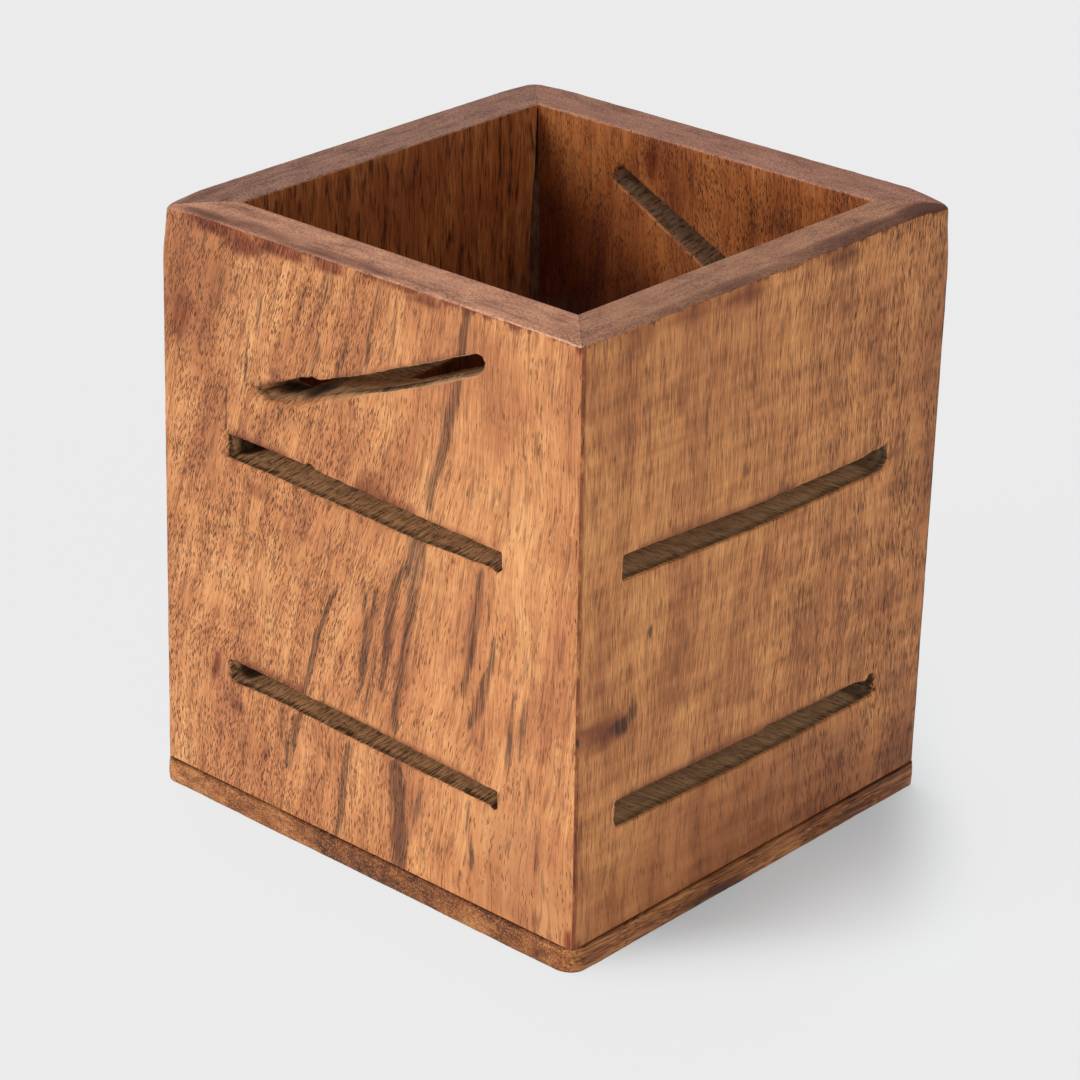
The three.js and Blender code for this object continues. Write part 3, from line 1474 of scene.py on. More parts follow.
class WallShader:
    """Lays out the nodes of one wall's oiled wood, from each point's place in its board.

    Noise is sized in millimetres: each place is divided by the size of the pattern there. Strand
    patterns are given by their width, their length and the strength of their finer layers. Bands
    are millimetres from a surface, and facings are shares of the direction out or up.
    """

    FIBRES: Triple = (0.24, 4.4, 0.75)
    STRANDS: Triple = (0.30, 10.0, 0.68)
    BANDS: Triple = (2.2, 26.0, 0.62)
    RIM_BAND: Spot = (2.6, 3.2)
    RIM_FACING: Spot = (0.35, 0.75)
    SLOTS_TOP: Spot = (3.2, 3.6)
    FACE_EDGE: Spot = (0.2, 0.5)
    CHEEK_FACING: Spot = (0.3, 0.55)
    INNER_FACE: Spot = (0.25, 0.45)
    GLOOM_HEIGHTS: Spot = (30.0, 80.0)
    # Where painted light lies on a slot's flared sill, which faces out and up.
    LIP_FACING: tuple[float, ...] = (0.3, 0.5, 0.75, 0.9)
    LIP_DEPTH: tuple[float, ...] = (0.02, 0.15, 1.5, 2.0)
    LIP_START: Spot = (-14.0, 2.0)
    # Where the painted highlight runs on the rim's arris.
    HIGHLIGHT_FACING: tuple[float, ...] = (0.25, 0.5, 0.8, 0.95)
    HIGHLIGHT_BAND: Spot = (0.5, 1.2)
    MITRE_WIDTH: Spot = (0.02, 0.18)
    FOOT_BAND: Spot = (0.05, 0.3)
    LIP_LIGHT_SHARE: float = 0.65
    HIGHLIGHT_SHARE: float = 0.6
    MITRE_SHARE: float = 0.75
    ROSY_SHARE: float = 0.35
    END_PORE_SHARE: float = 0.8
    RIM_COAT: float = 0.35
    CHEEK_ROUGHNESS: float = 0.9
    CHEEK_RELIEF: float = 2.5
    BEND_HEIGHT: float = 26.0
    BEND_SHARE: float = 0.35
    GRAIN_MIDDLE: float = 50.0

    def __init__(self, finish: WallFinish) -> None:
        """Reads what is stored with the mesh and works out what several parts of the finish share.

        Args:
            finish: Sizes, tones and shares of the wood.
        """
        self.finish, self.tones, self.seed = finish, finish.tones, finish.seed
        side, sizes = finish.side, finish.sizes
        self.bench = Bench(f"{side.finish_slot}_finish")
        self.along, self.deep, self.up = self.bench.parts(self.bench.kept(PLACE))
        # The second share also holds the inner face's painted shade; the third holds dark spots and
        # the slots' painted shade, with painted light below 0.
        self.mineral, self.stain_and_shade, self.spots = self.bench.parts(self.bench.kept(MARKS))
        self.below_rim = sizes.height - self.up
        self.to_inner = sizes.wall - self.deep
        self.to_end = sizes.half_length(side) - abs(self.along)
        normal = self.bench.node("ShaderNodeNewGeometry").outputs["Normal"]
        facings, axis = self.bench.parts(normal), 1 if side.crosswise else 0
        self.facing_out = facings[axis] * -side.inward[axis]
        self.facing_up = facings[2]
        self.across, self.through = self._grain()
        self.fibres = self._strands(*self.FIBRES)
        self.strands = self._strands(*self.STRANDS)
        upwards = self.facing_up.rising(*self.RIM_FACING)
        self.rim = self.below_rim.falling(*self.RIM_BAND) * upwards
        self.at_slots = self.below_rim.rising(*self.SLOTS_TOP)

    def _grain(self) -> tuple[Field, Field]:
        """Follows the lean and sway of the grain.

        Returns:
            Places across the grain: over the face of the board and through it.
        """
        finish, seed, along, up = self.finish, self.seed, self.along, self.up
        slow = self.bench.cloud(along / 24.0 + seed, self.deep / 30.0, up / 46.0, 1.0)
        quick = self.bench.cloud(along / 6.0 + seed, self.deep / 8.0, up / 17.0, 1.0)
        leaning = 1.0 - along.rising(*finish.upright) * finish.upright_share
        bend = self.BEND_HEIGHT
        run = up.most(bend) + (up.least(bend) - bend) * self.BEND_SHARE - self.GRAIN_MIDDLE
        across = along - run * leaning * finish.lean
        across = across + (slow - 0.5) * 6.0 + (quick - 0.5) * 2.2 + seed * 17.0
        return across, self.deep + seed * 5.0

    def _strands(self, width: float, length: float, rough: float) -> Field:
        """Noise drawn out along the grain.

        Args:
            width: Size of the pattern across the grain.
            length: Size of the pattern along the grain.
            rough: Strength of its finer layers.

        Returns:
            The noise, from 0 to 1.
        """
        across, through = self.across / width, self.through / width
        return self.bench.cloud(across, through, self.up / length, 3.0, rough)

    def _long_grain(self) -> bpy.types.NodeSocket:
        """Colour of the wood where the grain runs along the surface.

        Returns:
            The colour.
        """
        finish, tones, seed = self.finish, self.tones, self.seed
        bands = self._strands(*self.BANDS)
        broad = self.bench.cloud(self.across / 9.0 + seed, self.up / 26.0, 3.0)
        cross = self.bench.cloud(self.along / 11.0 + seed, self.up / 2.6, 13.0)
        value = swung(
            finish.tint, (bands, finish.striped), (self.fibres, finish.fibrous),
            (self.strands, finish.stranded), (broad, finish.mottle), (cross, finish.cross_figure),
            # Paler or darker towards one end: partly painted light, partly the wood's own tone.
            (self.along.rising(*finish.light_and_tone_side), finish.light_and_tone_gain),
        )
        stops = [(0.08, tones.dark), (0.5, tones.middle), (0.95, tones.light)]
        colour = self.bench.ramp(value, stops)
        rosy = broad.falling(0.34, 0.5) * self.ROSY_SHARE
        return self.bench.blend(rosy, colour, tones.rosy)

    def _pores(self) -> Field:
        """Share of open pores: short dashes along the grain, in drifts.

        Returns:
            The share.
        """
        finish = self.finish
        drift = self.bench.cloud(self.along / 5.0, self.up / 8.0, 21.0 + self.seed, 3.0, 0.65)
        dense, sparse = finish.pore_share
        wanted = dense + self.along.rising(*finish.porous) * (sparse - dense)
        wanted = wanted * (0.12 + drift.rising(0.36, 0.64) * 0.9)
        depth = 0.8 + wanted * 0.45
        width, length = finish.pore_size
        share: Field | float = 0.0
        for shrink, faint in ((1.0, 0.55), (0.7, 0.35)):
            row = (self.across / (width * shrink), self.up / (length * shrink))
            distance, chance = self.bench.cells(*row)
            here = (chance + wanted - 1.0).rising(-0.08, 0.08)
            pore = (0.12 + chance * 0.26 - distance).rising(0.0, 0.14)
            share = (pore * here * (faint + chance * 0.4) * depth).most(share)
        return share

    def _lines(self) -> Field:
        """Share of the thin dark lines that run up the grain, broken here and there.

        Returns:
            The share.
        """
        sheet = self.bench.cloud(self.across / 1.7, self.up / 24.0, 33.0 + self.seed)
        broken = self.bench.cloud(self.across / 1.2, self.up / 5.0, 37.0 + self.seed, 2.0, 0.6)
        line = abs(sheet - 0.5).falling(0.0, 0.05)
        return line * broken.rising(0.42, 0.62) * self.finish.lined

    def _marked(self, colour: bpy.types.NodeSocket) -> bpy.types.NodeSocket:
        """Adds the streaks, the stains with the inner face's painted shade, the soiled band under the
        rim and the worn arris.

        Args:
            colour: Colour of the wood so far.

        Returns:
            The colour with its marks, broken by fibres and feathered by strands.
        """
        finish, tones = self.finish, self.tones
        ribbed, broken = self.strands.rising(0.38, 0.58), self.fibres.rising(0.36, 0.58)
        feathered = self.mineral * 1.5 - (1.0 - ribbed) * 0.8 - (1.0 - broken) * 0.3
        feathered = feathered.rising(0.0, 1.0) * (0.45 + ribbed * 0.3 + broken * 0.2)
        colour = self.bench.darkened(feathered, colour, tones.mineral)
        ragged = self.bench.cloud(self.along / 2.4 + self.seed, self.up / 6.0, 40.0, 4.0, 0.7)
        reach = ragged.rising(0.45, 0.7) * finish.rim_soil + 0.3
        soiled = (self.below_rim / reach).falling(0.3, 1.3) * ragged.rising(0.4, 0.55)
        line = self.to_end.falling(0.5, 1.3) * ragged.rising(0.3, 0.5) * finish.arris_line
        soiled = (soiled * 0.8).most(line) * self.deep.falling(1.0, 2.0)
        # Stains, and painted shade on the inner face.
        stain_and_shade_share = (self.stain_and_shade * 1.2 - (1.0 - broken) * 0.35).rising(0.0, 1.0)
        stain_and_shade_share = (stain_and_shade_share * (0.6 + ribbed * 0.4)).most(soiled)
        return self.bench.darkened(stain_and_shade_share, colour, tones.stain_and_shade)

    def _painted_inner_shade(self, colour: bpy.types.NodeSocket) -> bpy.types.NodeSocket:
        """Paints shade on the inner face, deeper towards the cup's floor, partly the inner wood's own
        tone.

        Args:
            colour: Colour of the wood so far.

        Returns:
            The colour with the painted shade inside the cup.
        """
        inner = self.to_inner.falling(*self.INNER_FACE) * self.below_rim.rising(0.05, 0.3)
        colour = self.bench.darkened(inner, colour, self.tones.inside)
        gloom = inner * self.up.falling(*self.GLOOM_HEIGHTS)
        return self.bench.darkened(gloom, colour, self.tones.gloom)

    def _end_grain(self) -> tuple[bpy.types.NodeSocket, Field]:
        """End grain on the rim, with its dark spots.

        Returns:
            Its colour and its relief.
        """
        tones, seed = self.tones, self.seed
        sway = self.bench.cloud(self.along / 13.0 + seed, self.deep / 9.0, 60.0)
        level = self.deep + (sway - 0.5) * 4.5
        rings = self.bench.cloud(self.along / 9.0, level, 70.0 + seed, 3.0, 0.65)
        fine = self.bench.cloud(self.along / 0.7, level / 0.22, 75.0 + seed, 3.0, 0.75)
        broad = self.bench.cloud(self.along / 7.0, self.deep / 4.0, 90.0 + seed)
        value = swung(0.62, (rings, 0.9), (fine, 1.7), (broad, 1.0))
        colour = self.bench.ramp(value, [(0.15, tones.rim_dark), (0.8, tones.rim_light)])
        distance, chance = self.bench.cells(self.along / 0.42, level / 0.30)
        pores = distance.falling(0.14, 0.36) * chance.rising(0.35, 0.7)
        colour = self.bench.darkened(pores * self.END_PORE_SHARE, colour, tones.pore)
        ragged = (self.spots + (fine - 0.5) * 1.3).rising(0.1, 0.95)
        spots = ragged * self.spots.rising(0.02, 0.3)
        return self.bench.darkened(spots, colour, tones.rim_stain), fine * 0.4 - pores

    def _cheek(self) -> tuple[bpy.types.NodeSocket, Field]:
        """Raw torn wood inside the slots, with painted shade at their dark ends, along their outer
        strip and in the cracks, and painted light where it is paler.

        Returns:
            Its colour and its relief.
        """
        tones, torn, deep, up = self.tones, self.finish.torn, self.deep, self.up
        skewed = self.along + deep * 0.12
        ridges = self.bench.cloud(skewed / 0.26, deep / 4.5, up / 1.6 + self.seed, 3.0, 0.8)
        tears = self.bench.cloud(skewed / 0.8, deep / 5.0, up / 3.0 + 50.0)
        broad = self.bench.cloud(self.along / 3.0, deep / 2.0, up / 6.0, 2.0, 0.6)
        fine = self.bench.cloud(skewed / 0.1, deep / 2.2, up / 0.7 + self.seed, 2.0, 0.7)
        value = swung(0.62, (ridges, 3.1 * torn), (broad, 1.3 * torn), (fine, 1.1 * torn))
        # Painted shade along the cheek's outer strip, and painted light where the spots are below 0.
        value = value - deep.falling(0.7, 2.1) * 0.36 + (-self.spots).rising(0.0, 1.2) * 0.4
        colour = self.bench.ramp(value, [(0.1, tones.cheek_dark), (0.8, tones.cheek_light)])
        cracks = abs(tears - 0.5).falling(0.0, 0.05) * broad.rising(0.4, 0.6) * torn * 0.7
        # The cracks and the slots' painted shade take the near-black painted shade colour.
        colour = self.bench.blend(cracks.most(self.spots), colour, tones.hollow)
        return colour, ridges - cracks * 0.6

    def _painted_edge_light(self, colour: bpy.types.NodeSocket) -> bpy.types.NodeSocket:
        """Paints light on the flared lip of a slot and a highlight on the rim's arris.

        Args:
            colour: Colour of the wood so far.

        Returns:
            The colour with its painted light and highlight.
        """
        finish = self.finish
        # Painted light on the sill's flare, which faces out and up.
        lip = self.facing_out.between(*self.LIP_FACING) * self.at_slots
        lip = lip * self.deep.between(*self.LIP_DEPTH)
        lip = lip * self.up.rising(*finish.lip_over) * self.along.rising(*self.LIP_START)
        colour = self.bench.blend(lip * self.LIP_LIGHT_SHARE, colour, self.tones.lip)
        # Painted highlight on the rim's arris, broken by fibres.
        edge = self.facing_up.between(*self.HIGHLIGHT_FACING)
        edge = edge * self.below_rim.falling(*self.HIGHLIGHT_BAND)
        edge = edge * self.along.rising(*finish.edge_highlight) * self.fibres.rising(0.3, 0.6)
        return self.bench.blend(edge * self.HIGHLIGHT_SHARE, colour, self.tones.edge)

    def _joined(self, colour: bpy.types.NodeSocket) -> bpy.types.NodeSocket:
        """Darkens the mitre line on the rim and the glue line above the base.

        Args:
            colour: Colour of the wood so far.

        Returns:
            The colour with its joints.
        """
        worn = self.bench.cloud(self.along * 0.45, self.deep * 0.45, self.up * 0.3, 1.0)
        mitre = (self.to_end - self.deep).falling(*self.MITRE_WIDTH)
        seam = mitre * worn.rising(0.3, 0.6) * self.rim * self.MITRE_SHARE
        foot = (self.up - self.finish.sizes.base).falling(*self.FOOT_BAND)
        return self.bench.darkened(seam.most(foot * (0.1 + worn * 0.6)), colour, self.tones.stain_and_shade)

    def build(self) -> bpy.types.Material:
        """Lays out the finish: long grain on the faces, end grain on the rim, torn wood in the slots.

        Returns:
            The material.
        """
        bench, rim, fibres = self.bench, self.rim, self.fibres
        pores, lines = self._pores(), self._lines()
        colour = self._marked(self._long_grain())
        colour = self._painted_inner_shade(bench.darkened(pores.most(lines), colour, self.tones.pore))
        rim_colour, rim_relief = self._end_grain()
        colour = bench.blend(rim, colour, rim_colour)
        cheek = self.deep.rising(*self.FACE_EDGE) * self.to_inner.rising(*self.FACE_EDGE)
        cheek = cheek * self.at_slots * self.facing_out.falling(*self.CHEEK_FACING)
        cheek_colour, cheek_relief = self._cheek()
        colour = bench.blend(cheek, colour, cheek_colour)
        relief = fibres * 0.5 - pores * 1.5 - lines * 0.6
        relief = relief + rim * (rim_relief - relief)
        relief = relief + cheek * (cheek_relief * self.CHEEK_RELIEF - relief)
        gloss = swung(0.5, (fibres, 0.2)) + pores * 0.2
        return bench.surface(
            {
                "Base Color": self._joined(self._painted_edge_light(colour)),
                "Roughness": gloss + cheek * (self.CHEEK_ROUGHNESS - gloss),
                "Normal": bench.relief(relief, 0.7, WOOD_RELIEF),
                "Coat Weight": rim * self.RIM_COAT,
                "Coat Roughness": 0.38,
                **WOOD_SHEEN,
            }
        )


@dataclass(frozen=True)
class BaseFinish:
    """Darker oiled wood on the base board, with its grain running from front to back."""

    sizes: CupSizes
    dark: Colour = (0.090, 0.026, 0.009)
    middle: Colour = (0.31, 0.102, 0.029)
    light: Colour = (0.60, 0.265, 0.092)
    pore: Colour = (0.22, 0.16, 0.13)

    def build(self) -> bpy.types.Material:
        """Lays out the finish.

        Returns:
            The material.
        """
        bench = Bench("base_wood_finish")
        x, y, z = bench.parts(bench.kept(PLACE))
        sway = bench.cloud(x / 16.0, y / 30.0, z / 12.0)
        across = x + (sway - 0.5) * 9.0
        bands = bench.cloud(across / 2.6, y / 30.0, z / 1.3, 3.0, 0.62)
        fibres = bench.cloud(across / 0.42, y / 6.0, z / 0.38, 3.0, 0.7)
        broad = bench.cloud(x / 11.0, y / 18.0, z / 10.0 + 5.0)
        value = swung(0.46, (bands, 1.3), (fibres, 1.2), (broad, 1.4))
        colour = bench.ramp(value, [(0.1, self.dark), (0.5, self.middle), (0.9, self.light)])
        distance, chance = bench.cells(across / 0.4 + y * 0.3, z / 0.36 + y * 0.2)
        pores = distance.falling(0.14, 0.38) * chance.rising(0.35, 0.65)
        colour = bench.darkened(pores * 0.75, colour, self.pore)
        distance, chance = bench.cells(across / 0.44 + y * 0.26 + 40.0, z / 0.4 + y * 0.17)
        specks = distance.falling(0.2, 0.42) * chance.rising(0.5, 0.8)
        colour = bench.blend(specks * 0.55, colour, self.light)
        joint = (self.sizes.base - z).falling(0.2, 0.4)
        foot = z.falling(0.05, 0.5)
        return bench.surface(
            {
                "Base Color": bench.darkened((joint * 0.55).most(foot * 0.4), colour, self.pore),
                "Roughness": swung(0.5, (fibres, 0.2)) + pores * 0.2,
                "Normal": bench.relief(fibres * 0.4 - pores, 0.6, WOOD_RELIEF),
                **WOOD_SHEEN,
            }
        )


@dataclass(frozen=True)
class GlueFinish:
    """Old brown glue, dull and a little lumpy, which turns near-black over `crack_shade_from`:
    painted shade for an open seam there.

    The lumps are counted for each millimetre across the bead and along it.
    """

    dark: Colour = (0.045, 0.017, 0.009)
    light: Colour = (0.14, 0.060, 0.034)
    # Near-black painted shade of an open seam.
    crack_shade: Colour = (0.006, 0.004, 0.003)
    crack_shade_from: Spot = (84.0, 92.0)
    lumps_across: float = 1.4
    lumps_along: float = 0.5

    def build(self) -> bpy.types.Material:
        """Lays out the finish.

        Returns:
            The material.
        """
        bench = Bench("old_glue")
        x, y, up = bench.parts(bench.kept(PLACE))
        across, along = self.lumps_across, self.lumps_along
        lumps = bench.cloud(x * across, y * across, up * along, 3.0, 0.6)
        colour = bench.ramp(lumps, [(0.3, self.dark), (0.7, self.light)])
        return bench.surface(
            {
                "Base Color": bench.blend(up.rising(*self.crack_shade_from), colour, self.crack_shade),
                "Roughness": 0.6 + lumps * 0.3,
                "Normal": bench.relief(lumps, 0.5, GLUE_RELIEF),
                "Specular IOR Level": 0.08,
            }
        )


FRONT_STREAKS = (
    Streak(
        (
            (21.6, 99.8, 0.45), (20.3, 94.0, 0.6), (19.8, 89.7, 0.6), (18.4, 83.0, 0.85),
            (16.9, 77.1, 0.8), (15.0, 71.8, 0.6), (13.8, 66.0, 0.4),
        ),
        1.0,
    ),
    Streak(
        (
            (11.3, 61.2, 0.8), (10.5, 57.0, 1.0), (7.6, 52.8, 0.7), (6.0, 46.0, 0.8),
            (5.2, 39.3, 0.7), (4.2, 33.5, 0.4),
        ),
        0.9,
    ),
    Streak(
        (
            (12.6, 61.2, 0.8), (11.3, 55.4, 1.3), (10.7, 50.1, 0.9), (9.0, 40.6, 0.6),
            (7.8, 35.1, 0.6), (7.0, 27.0, 0.4),
        ),
        0.85,
    ),
    Streak(((7.4, 22.6, 1.0), (7.9, 18.0, 1.2), (8.3, 11.9, 1.4), (8.1, 4.3, 1.1)), 1.0),
    Streak(((12.9, 22.0, 0.4), (12.3, 17.0, 0.8), (11.6, 11.0, 0.5)), 0.6),
    Streak(((-4.4, 48.5, 0.15), (-6.4, 45.0, 0.3), (-9.0, 38.7, 0.4), (-12.2, 27.0, 0.35)), 1.0),
    Streak(((-13.2, 23.2, 0.6), (-15.1, 17.0, 0.8), (-15.8, 12.0, 0.3)), 0.85),
    Streak(((-17.0, 23.2, 0.3), (-17.6, 18.0, 0.5), (-18.5, 13.0, 0.2)), 0.6),
    Streak(((0.4, 50.5, 0.25), (1.2, 42.6, 0.6), (0.6, 36.3, 0.5), (-0.8, 30.0, 0.2)), 0.85),
    Streak(((3.4, 50.5, 0.25), (2.5, 46.0, 0.45), (2.0, 42.0, 0.2)), 0.85),
    Streak(((3.4, 41.0, 0.2), (2.8, 37.0, 0.4), (1.6, 31.0, 0.4), (0.4, 27.5, 0.2)), 0.65),
    Streak(((-2.4, 22.4, 0.4), (-3.7, 13.4, 0.55), (-5.2, 4.3, 0.6)), 0.95),
    Streak(((-6.6, 21.6, 0.15), (-7.4, 16.0, 0.35), (-8.4, 11.0, 0.15)), 0.6),
    Streak(((24.7, 60.8, 0.4), (23.6, 53.5, 0.8), (22.7, 48.3, 0.8), (21.0, 38.5, 0.4)), 0.8),
    Streak(((27.3, 50.5, 0.2), (26.8, 45.7, 0.5), (24.0, 37.6, 0.9), (22.4, 33.5, 0.4)), 0.85),
    Streak(((31.6, 44.0, 0.15), (30.7, 38.1, 0.5), (30.2, 32.5, 0.5), (30.0, 27.5, 0.2)), 0.7),
    Streak(((33.8, 43.0, 0.2), (32.8, 36.4, 0.7), (32.2, 31.5, 0.3)), 0.75),
    Streak(((34.4, 29.5, 0.2), (35.8, 21.7, 0.4), (36.3, 14.0, 0.2)), 0.6),
    Streak(((22.6, 21.9, 0.2), (22.7, 16.3, 0.4), (23.2, 11.7, 0.3), (22.3, 5.0, 0.2)), 0.65),
    Streak(((-6.6, 97.5, 0.2), (-7.4, 94.0, 0.5), (-9.0, 90.2, 0.3)), 0.7),
    Streak(((-8.9, 87.5, 0.15), (-9.4, 84.5, 0.5), (-10.5, 80.9, 0.4)), 0.8),
    Streak(((-2.4, 89.7, 0.15), (-3.6, 85.8, 0.5), (-4.9, 82.2, 0.3)), 0.65),
    Streak(((4.0, 99.0, 0.25), (2.3, 91.9, 0.35), (0.9, 85.0, 0.25)), 0.75),
    Streak(((7.4, 99.0, 0.15), (6.1, 88.3, 0.35), (5.6, 86.6, 0.2)), 0.55),
    Streak(((-23.8, 84.0, 0.1), (-24.3, 80.5, 0.2), (-24.8, 75.6, 0.2)), 1.0, 0.7),
    Streak(((-28.9, 74.0, 0.1), (-29.0, 70.0, 0.15), (-28.7, 65.8, 0.2)), 0.9, 0.7),
    Streak(((-29.0, 93.8, 0.2), (-29.6, 91.0, 0.6), (-30.4, 88.6, 0.3)), 0.7),
    Streak(((-25.9, 93.2, 0.2), (-27.0, 90.4, 0.5), (-28.4, 87.6, 0.2)), 0.7),
    Streak(((-20.9, 90.9, 0.2), (-21.6, 87.8, 0.5), (-22.4, 84.6, 0.2)), 0.65),
    Streak(((17.0, 60.0, 0.2), (16.0, 54.0, 0.5), (14.6, 46.0, 0.3)), 0.35),
)

FRONT_STAINS = (
    Smudge(-35.0, 88.0, 12.0, 17.0, 0.36, 0.3),
    Smudge(-38.6, 83.2, 3.0, 6.0, 0.7, 0.3),
    Smudge(-31.5, 88.5, 2.4, 5.0, 0.4, 0.3),
    Smudge(-12.0, 92.0, 5.0, 9.0, 0.18, 0.3),
    Smudge(18.0, 12.0, 10.0, 7.0, 0.14),
    Smudge(33.0, 12.0, 12.0, 14.0, 0.42),
    Smudge(42.4, 5.6, 0.9, 2.4, 1.0),
    Smudge(-31.7, 24.9, 1.2, 3.6, 0.75, 0.3),
    Smudge(-27.0, 19.4, 2.2, 1.8, 0.6),
    Smudge(-20.6, 13.2, 1.4, 3.4, 0.5, 0.3),
    Smudge(-21.9, 58.2, 3.4, 1.8, 0.5),
    Smudge(-30.0, 48.5, 3.6, 2.6, 0.35),
    Smudge(2.0, 67.6, 3.0, 2.4, 0.6),
    Smudge(-25.2, 97.8, 5.0, 2.2, 1.0),
    Smudge(-30.0, 99.2, 9.0, 1.2, 1.0),
    Smudge(-17.0, 98.8, 6.5, 1.6, 1.0),
    Smudge(-6.8, 99.1, 4.6, 1.3, 0.95),
    Smudge(4.0, 99.3, 6.0, 0.9, 0.7),
    Smudge(13.0, 98.9, 4.6, 1.3, 0.75),
)

FRONT_SLOT_STAINS = (
    Burnish((-28.6, 66.0), (-14.0, 65.9), 1.8, 0.7),
    Burnish((-2.0, 65.3), (13.0, 64.7), 2.4, 0.75),
    Burnish((12.0, 64.7), (27.0, 64.3), 1.2, 0.55),
    Burnish((-27.0, 27.2), (-10.0, 26.8), 2.6, 0.8),
    Burnish((-10.0, 26.8), (26.0, 25.3), 1.1, 0.6),
)

SLANTED_SLOT_STAINS = (
    Burnish((-22.6, 75.5), (-7.0, 81.1), 1.2, 0.6),
    Burnish((-7.0, 81.1), (23.0, 93.5), 0.9, 0.5),
)

RIGHT_STREAKS = (
    Streak(((-38.0, 16.0, 0.2), (-38.6, 10.0, 0.45), (-38.8, 4.4, 0.5)), 0.5),
    Streak(((-27.4, 54.0, 0.15), (-27.0, 48.0, 0.35), (-27.2, 44.0, 0.2)), 0.5),
    Streak(((-6.0, 86.0, 0.15), (-5.6, 78.0, 0.3), (-5.9, 66.0, 0.2)), 0.35),
    Smudge(-26.2, 50.8, 0.7, 0.95, 1.3),
    Smudge(-35.1, 80.7, 0.6, 1.2, 0.8),
    Smudge(-29.8, 39.7, 1.3, 2.0, 1.12),
    Smudge(-32.6, 38.1, 3.2, 1.3, 1.15),
    Smudge(-42.6, 38.4, 1.6, 1.2, 1.0),
)

RIGHT_STAINS = (
    Burnish((-43.5, 41.2), (-31.0, 38.6), 1.3, 0.62),
    Burnish((-43.5, 37.0), (-33.5, 36.0), 1.1, 0.55),
    Smudge(-32.2, 38.2, 2.4, 1.0, 0.4),
    Smudge(-35.5, 38.6, 7.5, 3.0, 0.7),
    Smudge(-20.0, 11.8, 9.0, 0.7, 0.5, 3.0),
    Smudge(-8.0, 13.5, 8.0, 0.6, 0.5, 3.0),
    Smudge(-22.0, 80.0, 12.0, 0.8, 0.4, 3.0),
    Smudge(-41.6, 5.0, 1.6, 1.1, 1.0),
    Smudge(-21.0, 85.0, 1.8, 1.8, 0.5),
    Smudge(-5.7, 70.2, 1.3, 1.6, 0.7),
    Smudge(-7.4, 98.0, 5.6, 1.9, 0.75),
    Smudge(-20.0, 98.3, 6.4, 2.2, 0.6),
    Smudge(-30.5, 98.0, 5.6, 2.6, 0.5),
    Smudge(14.8, 98.0, 4.6, 1.8, 0.65),
    Smudge(38.5, 76.0, 7.0, 18.0, 0.42),
    Smudge(40.0, 50.0, 5.0, 24.0, 0.36),
    Smudge(38.0, 8.0, 8.0, 6.0, 0.5),
    Smudge(0.0, 6.0, 50.0, 20.0, 0.52),
    Smudge(-39.0, 10.0, 3.0, 8.0, 0.3),
)

RIGHT_SLOT_STAINS = (
    Burnish((-30.0, 65.2), (8.0, 63.7), 1.5, 0.65),
    Burnish((8.0, 63.7), (27.0, 63.6), 0.8, 0.45),
    Burnish((-33.0, 26.0), (24.0, 24.6), 1.2, 0.65),
)

FRONT_MARKS = FaceMarks(
    mineral=FRONT_STREAKS,
    stain_and_shade=FRONT_STAINS + FRONT_SLOT_STAINS + SLANTED_SLOT_STAINS,
    rim=(
        Smudge(-34.0, 1.2, 8.0, 1.8, 0.72),
        Smudge(-24.0, 1.8, 10.0, 2.2, 0.62),
        Smudge(-4.0, 1.4, 12.0, 1.8, 0.55),
        Smudge(27.0, 2.4, 8.0, 0.35, 0.6),
        Smudge(34.0, 5.2, 2.4, 1.2, 0.5),
        Smudge(-14.0, 0.6, 12.0, 1.4, 0.5),
    ),
    # Painted shade at the ends of the level slots.
    painted_slot_shades=(
        Hollow(-27.2, 25.0, begins=1.8, softness=1.4, slant=0.15),
        Hollow(-27.6, 64.0, begins=1.6, softness=1.4, slant=0.15),
        Hollow(27.4, 63.0, towards=1.0, begins=2.0, strength=0.5),
        Hollow(27.2, 23.5, towards=1.0, begins=2.0, strength=0.6),
    ),
    # Painted shade in the sloping slot, with painted light where the strength is below 0.
    slanted_light_and_shade=(
        Smudge(-12.0, 4.6, 4.0, 3.6, 0.95),
        Smudge(8.0, 1.7, 18.0, 1.1, 0.65),
        Smudge(-19.6, 6.4, 4.0, 2.9, 0.85),
        Smudge(-3.0, 7.2, 10.0, 3.0, -1.0),
        Smudge(-17.0, 1.6, 3.0, 2.0, -0.4),
    ),
)

RIGHT_MARKS = FaceMarks(
    mineral=RIGHT_STREAKS,
    stain_and_shade=RIGHT_STAINS + RIGHT_SLOT_STAINS,
    rim=(
        Smudge(37.5, 1.2, 10.0, 2.8, 1.0),
        Smudge(20.0, 1.2, 20.0, 2.6, 0.75),
        Smudge(-10.0, 0.8, 26.0, 1.8, 0.55),
    ),
    # Painted shade at the ends of the slots.
    painted_slot_shades=(
        Hollow(26.6, 62.0, towards=1.0, begins=0.6, strength=0.6),
        Hollow(26.8, 23.0, towards=1.0, begins=0.5, strength=0.6),
    ),
)

BACK_MARKS = FaceMarks(
    stain_and_shade=FRONT_SLOT_STAINS,
    rim=(Smudge(7.6, 5.8, 4.0, 1.2, 0.3), Smudge(8.0, 3.0, 7.0, 0.5, 0.4)),
    # Painted shade on the inner face.
    inside=(
        Smudge(9.8, 96.0, 1.4, 5.0, 0.8),
        Smudge(4.0, 90.0, 2.0, 7.0, 0.35),
        Smudge(32.0, 64.0, 30.0, 34.0, 0.8),
    ),
)

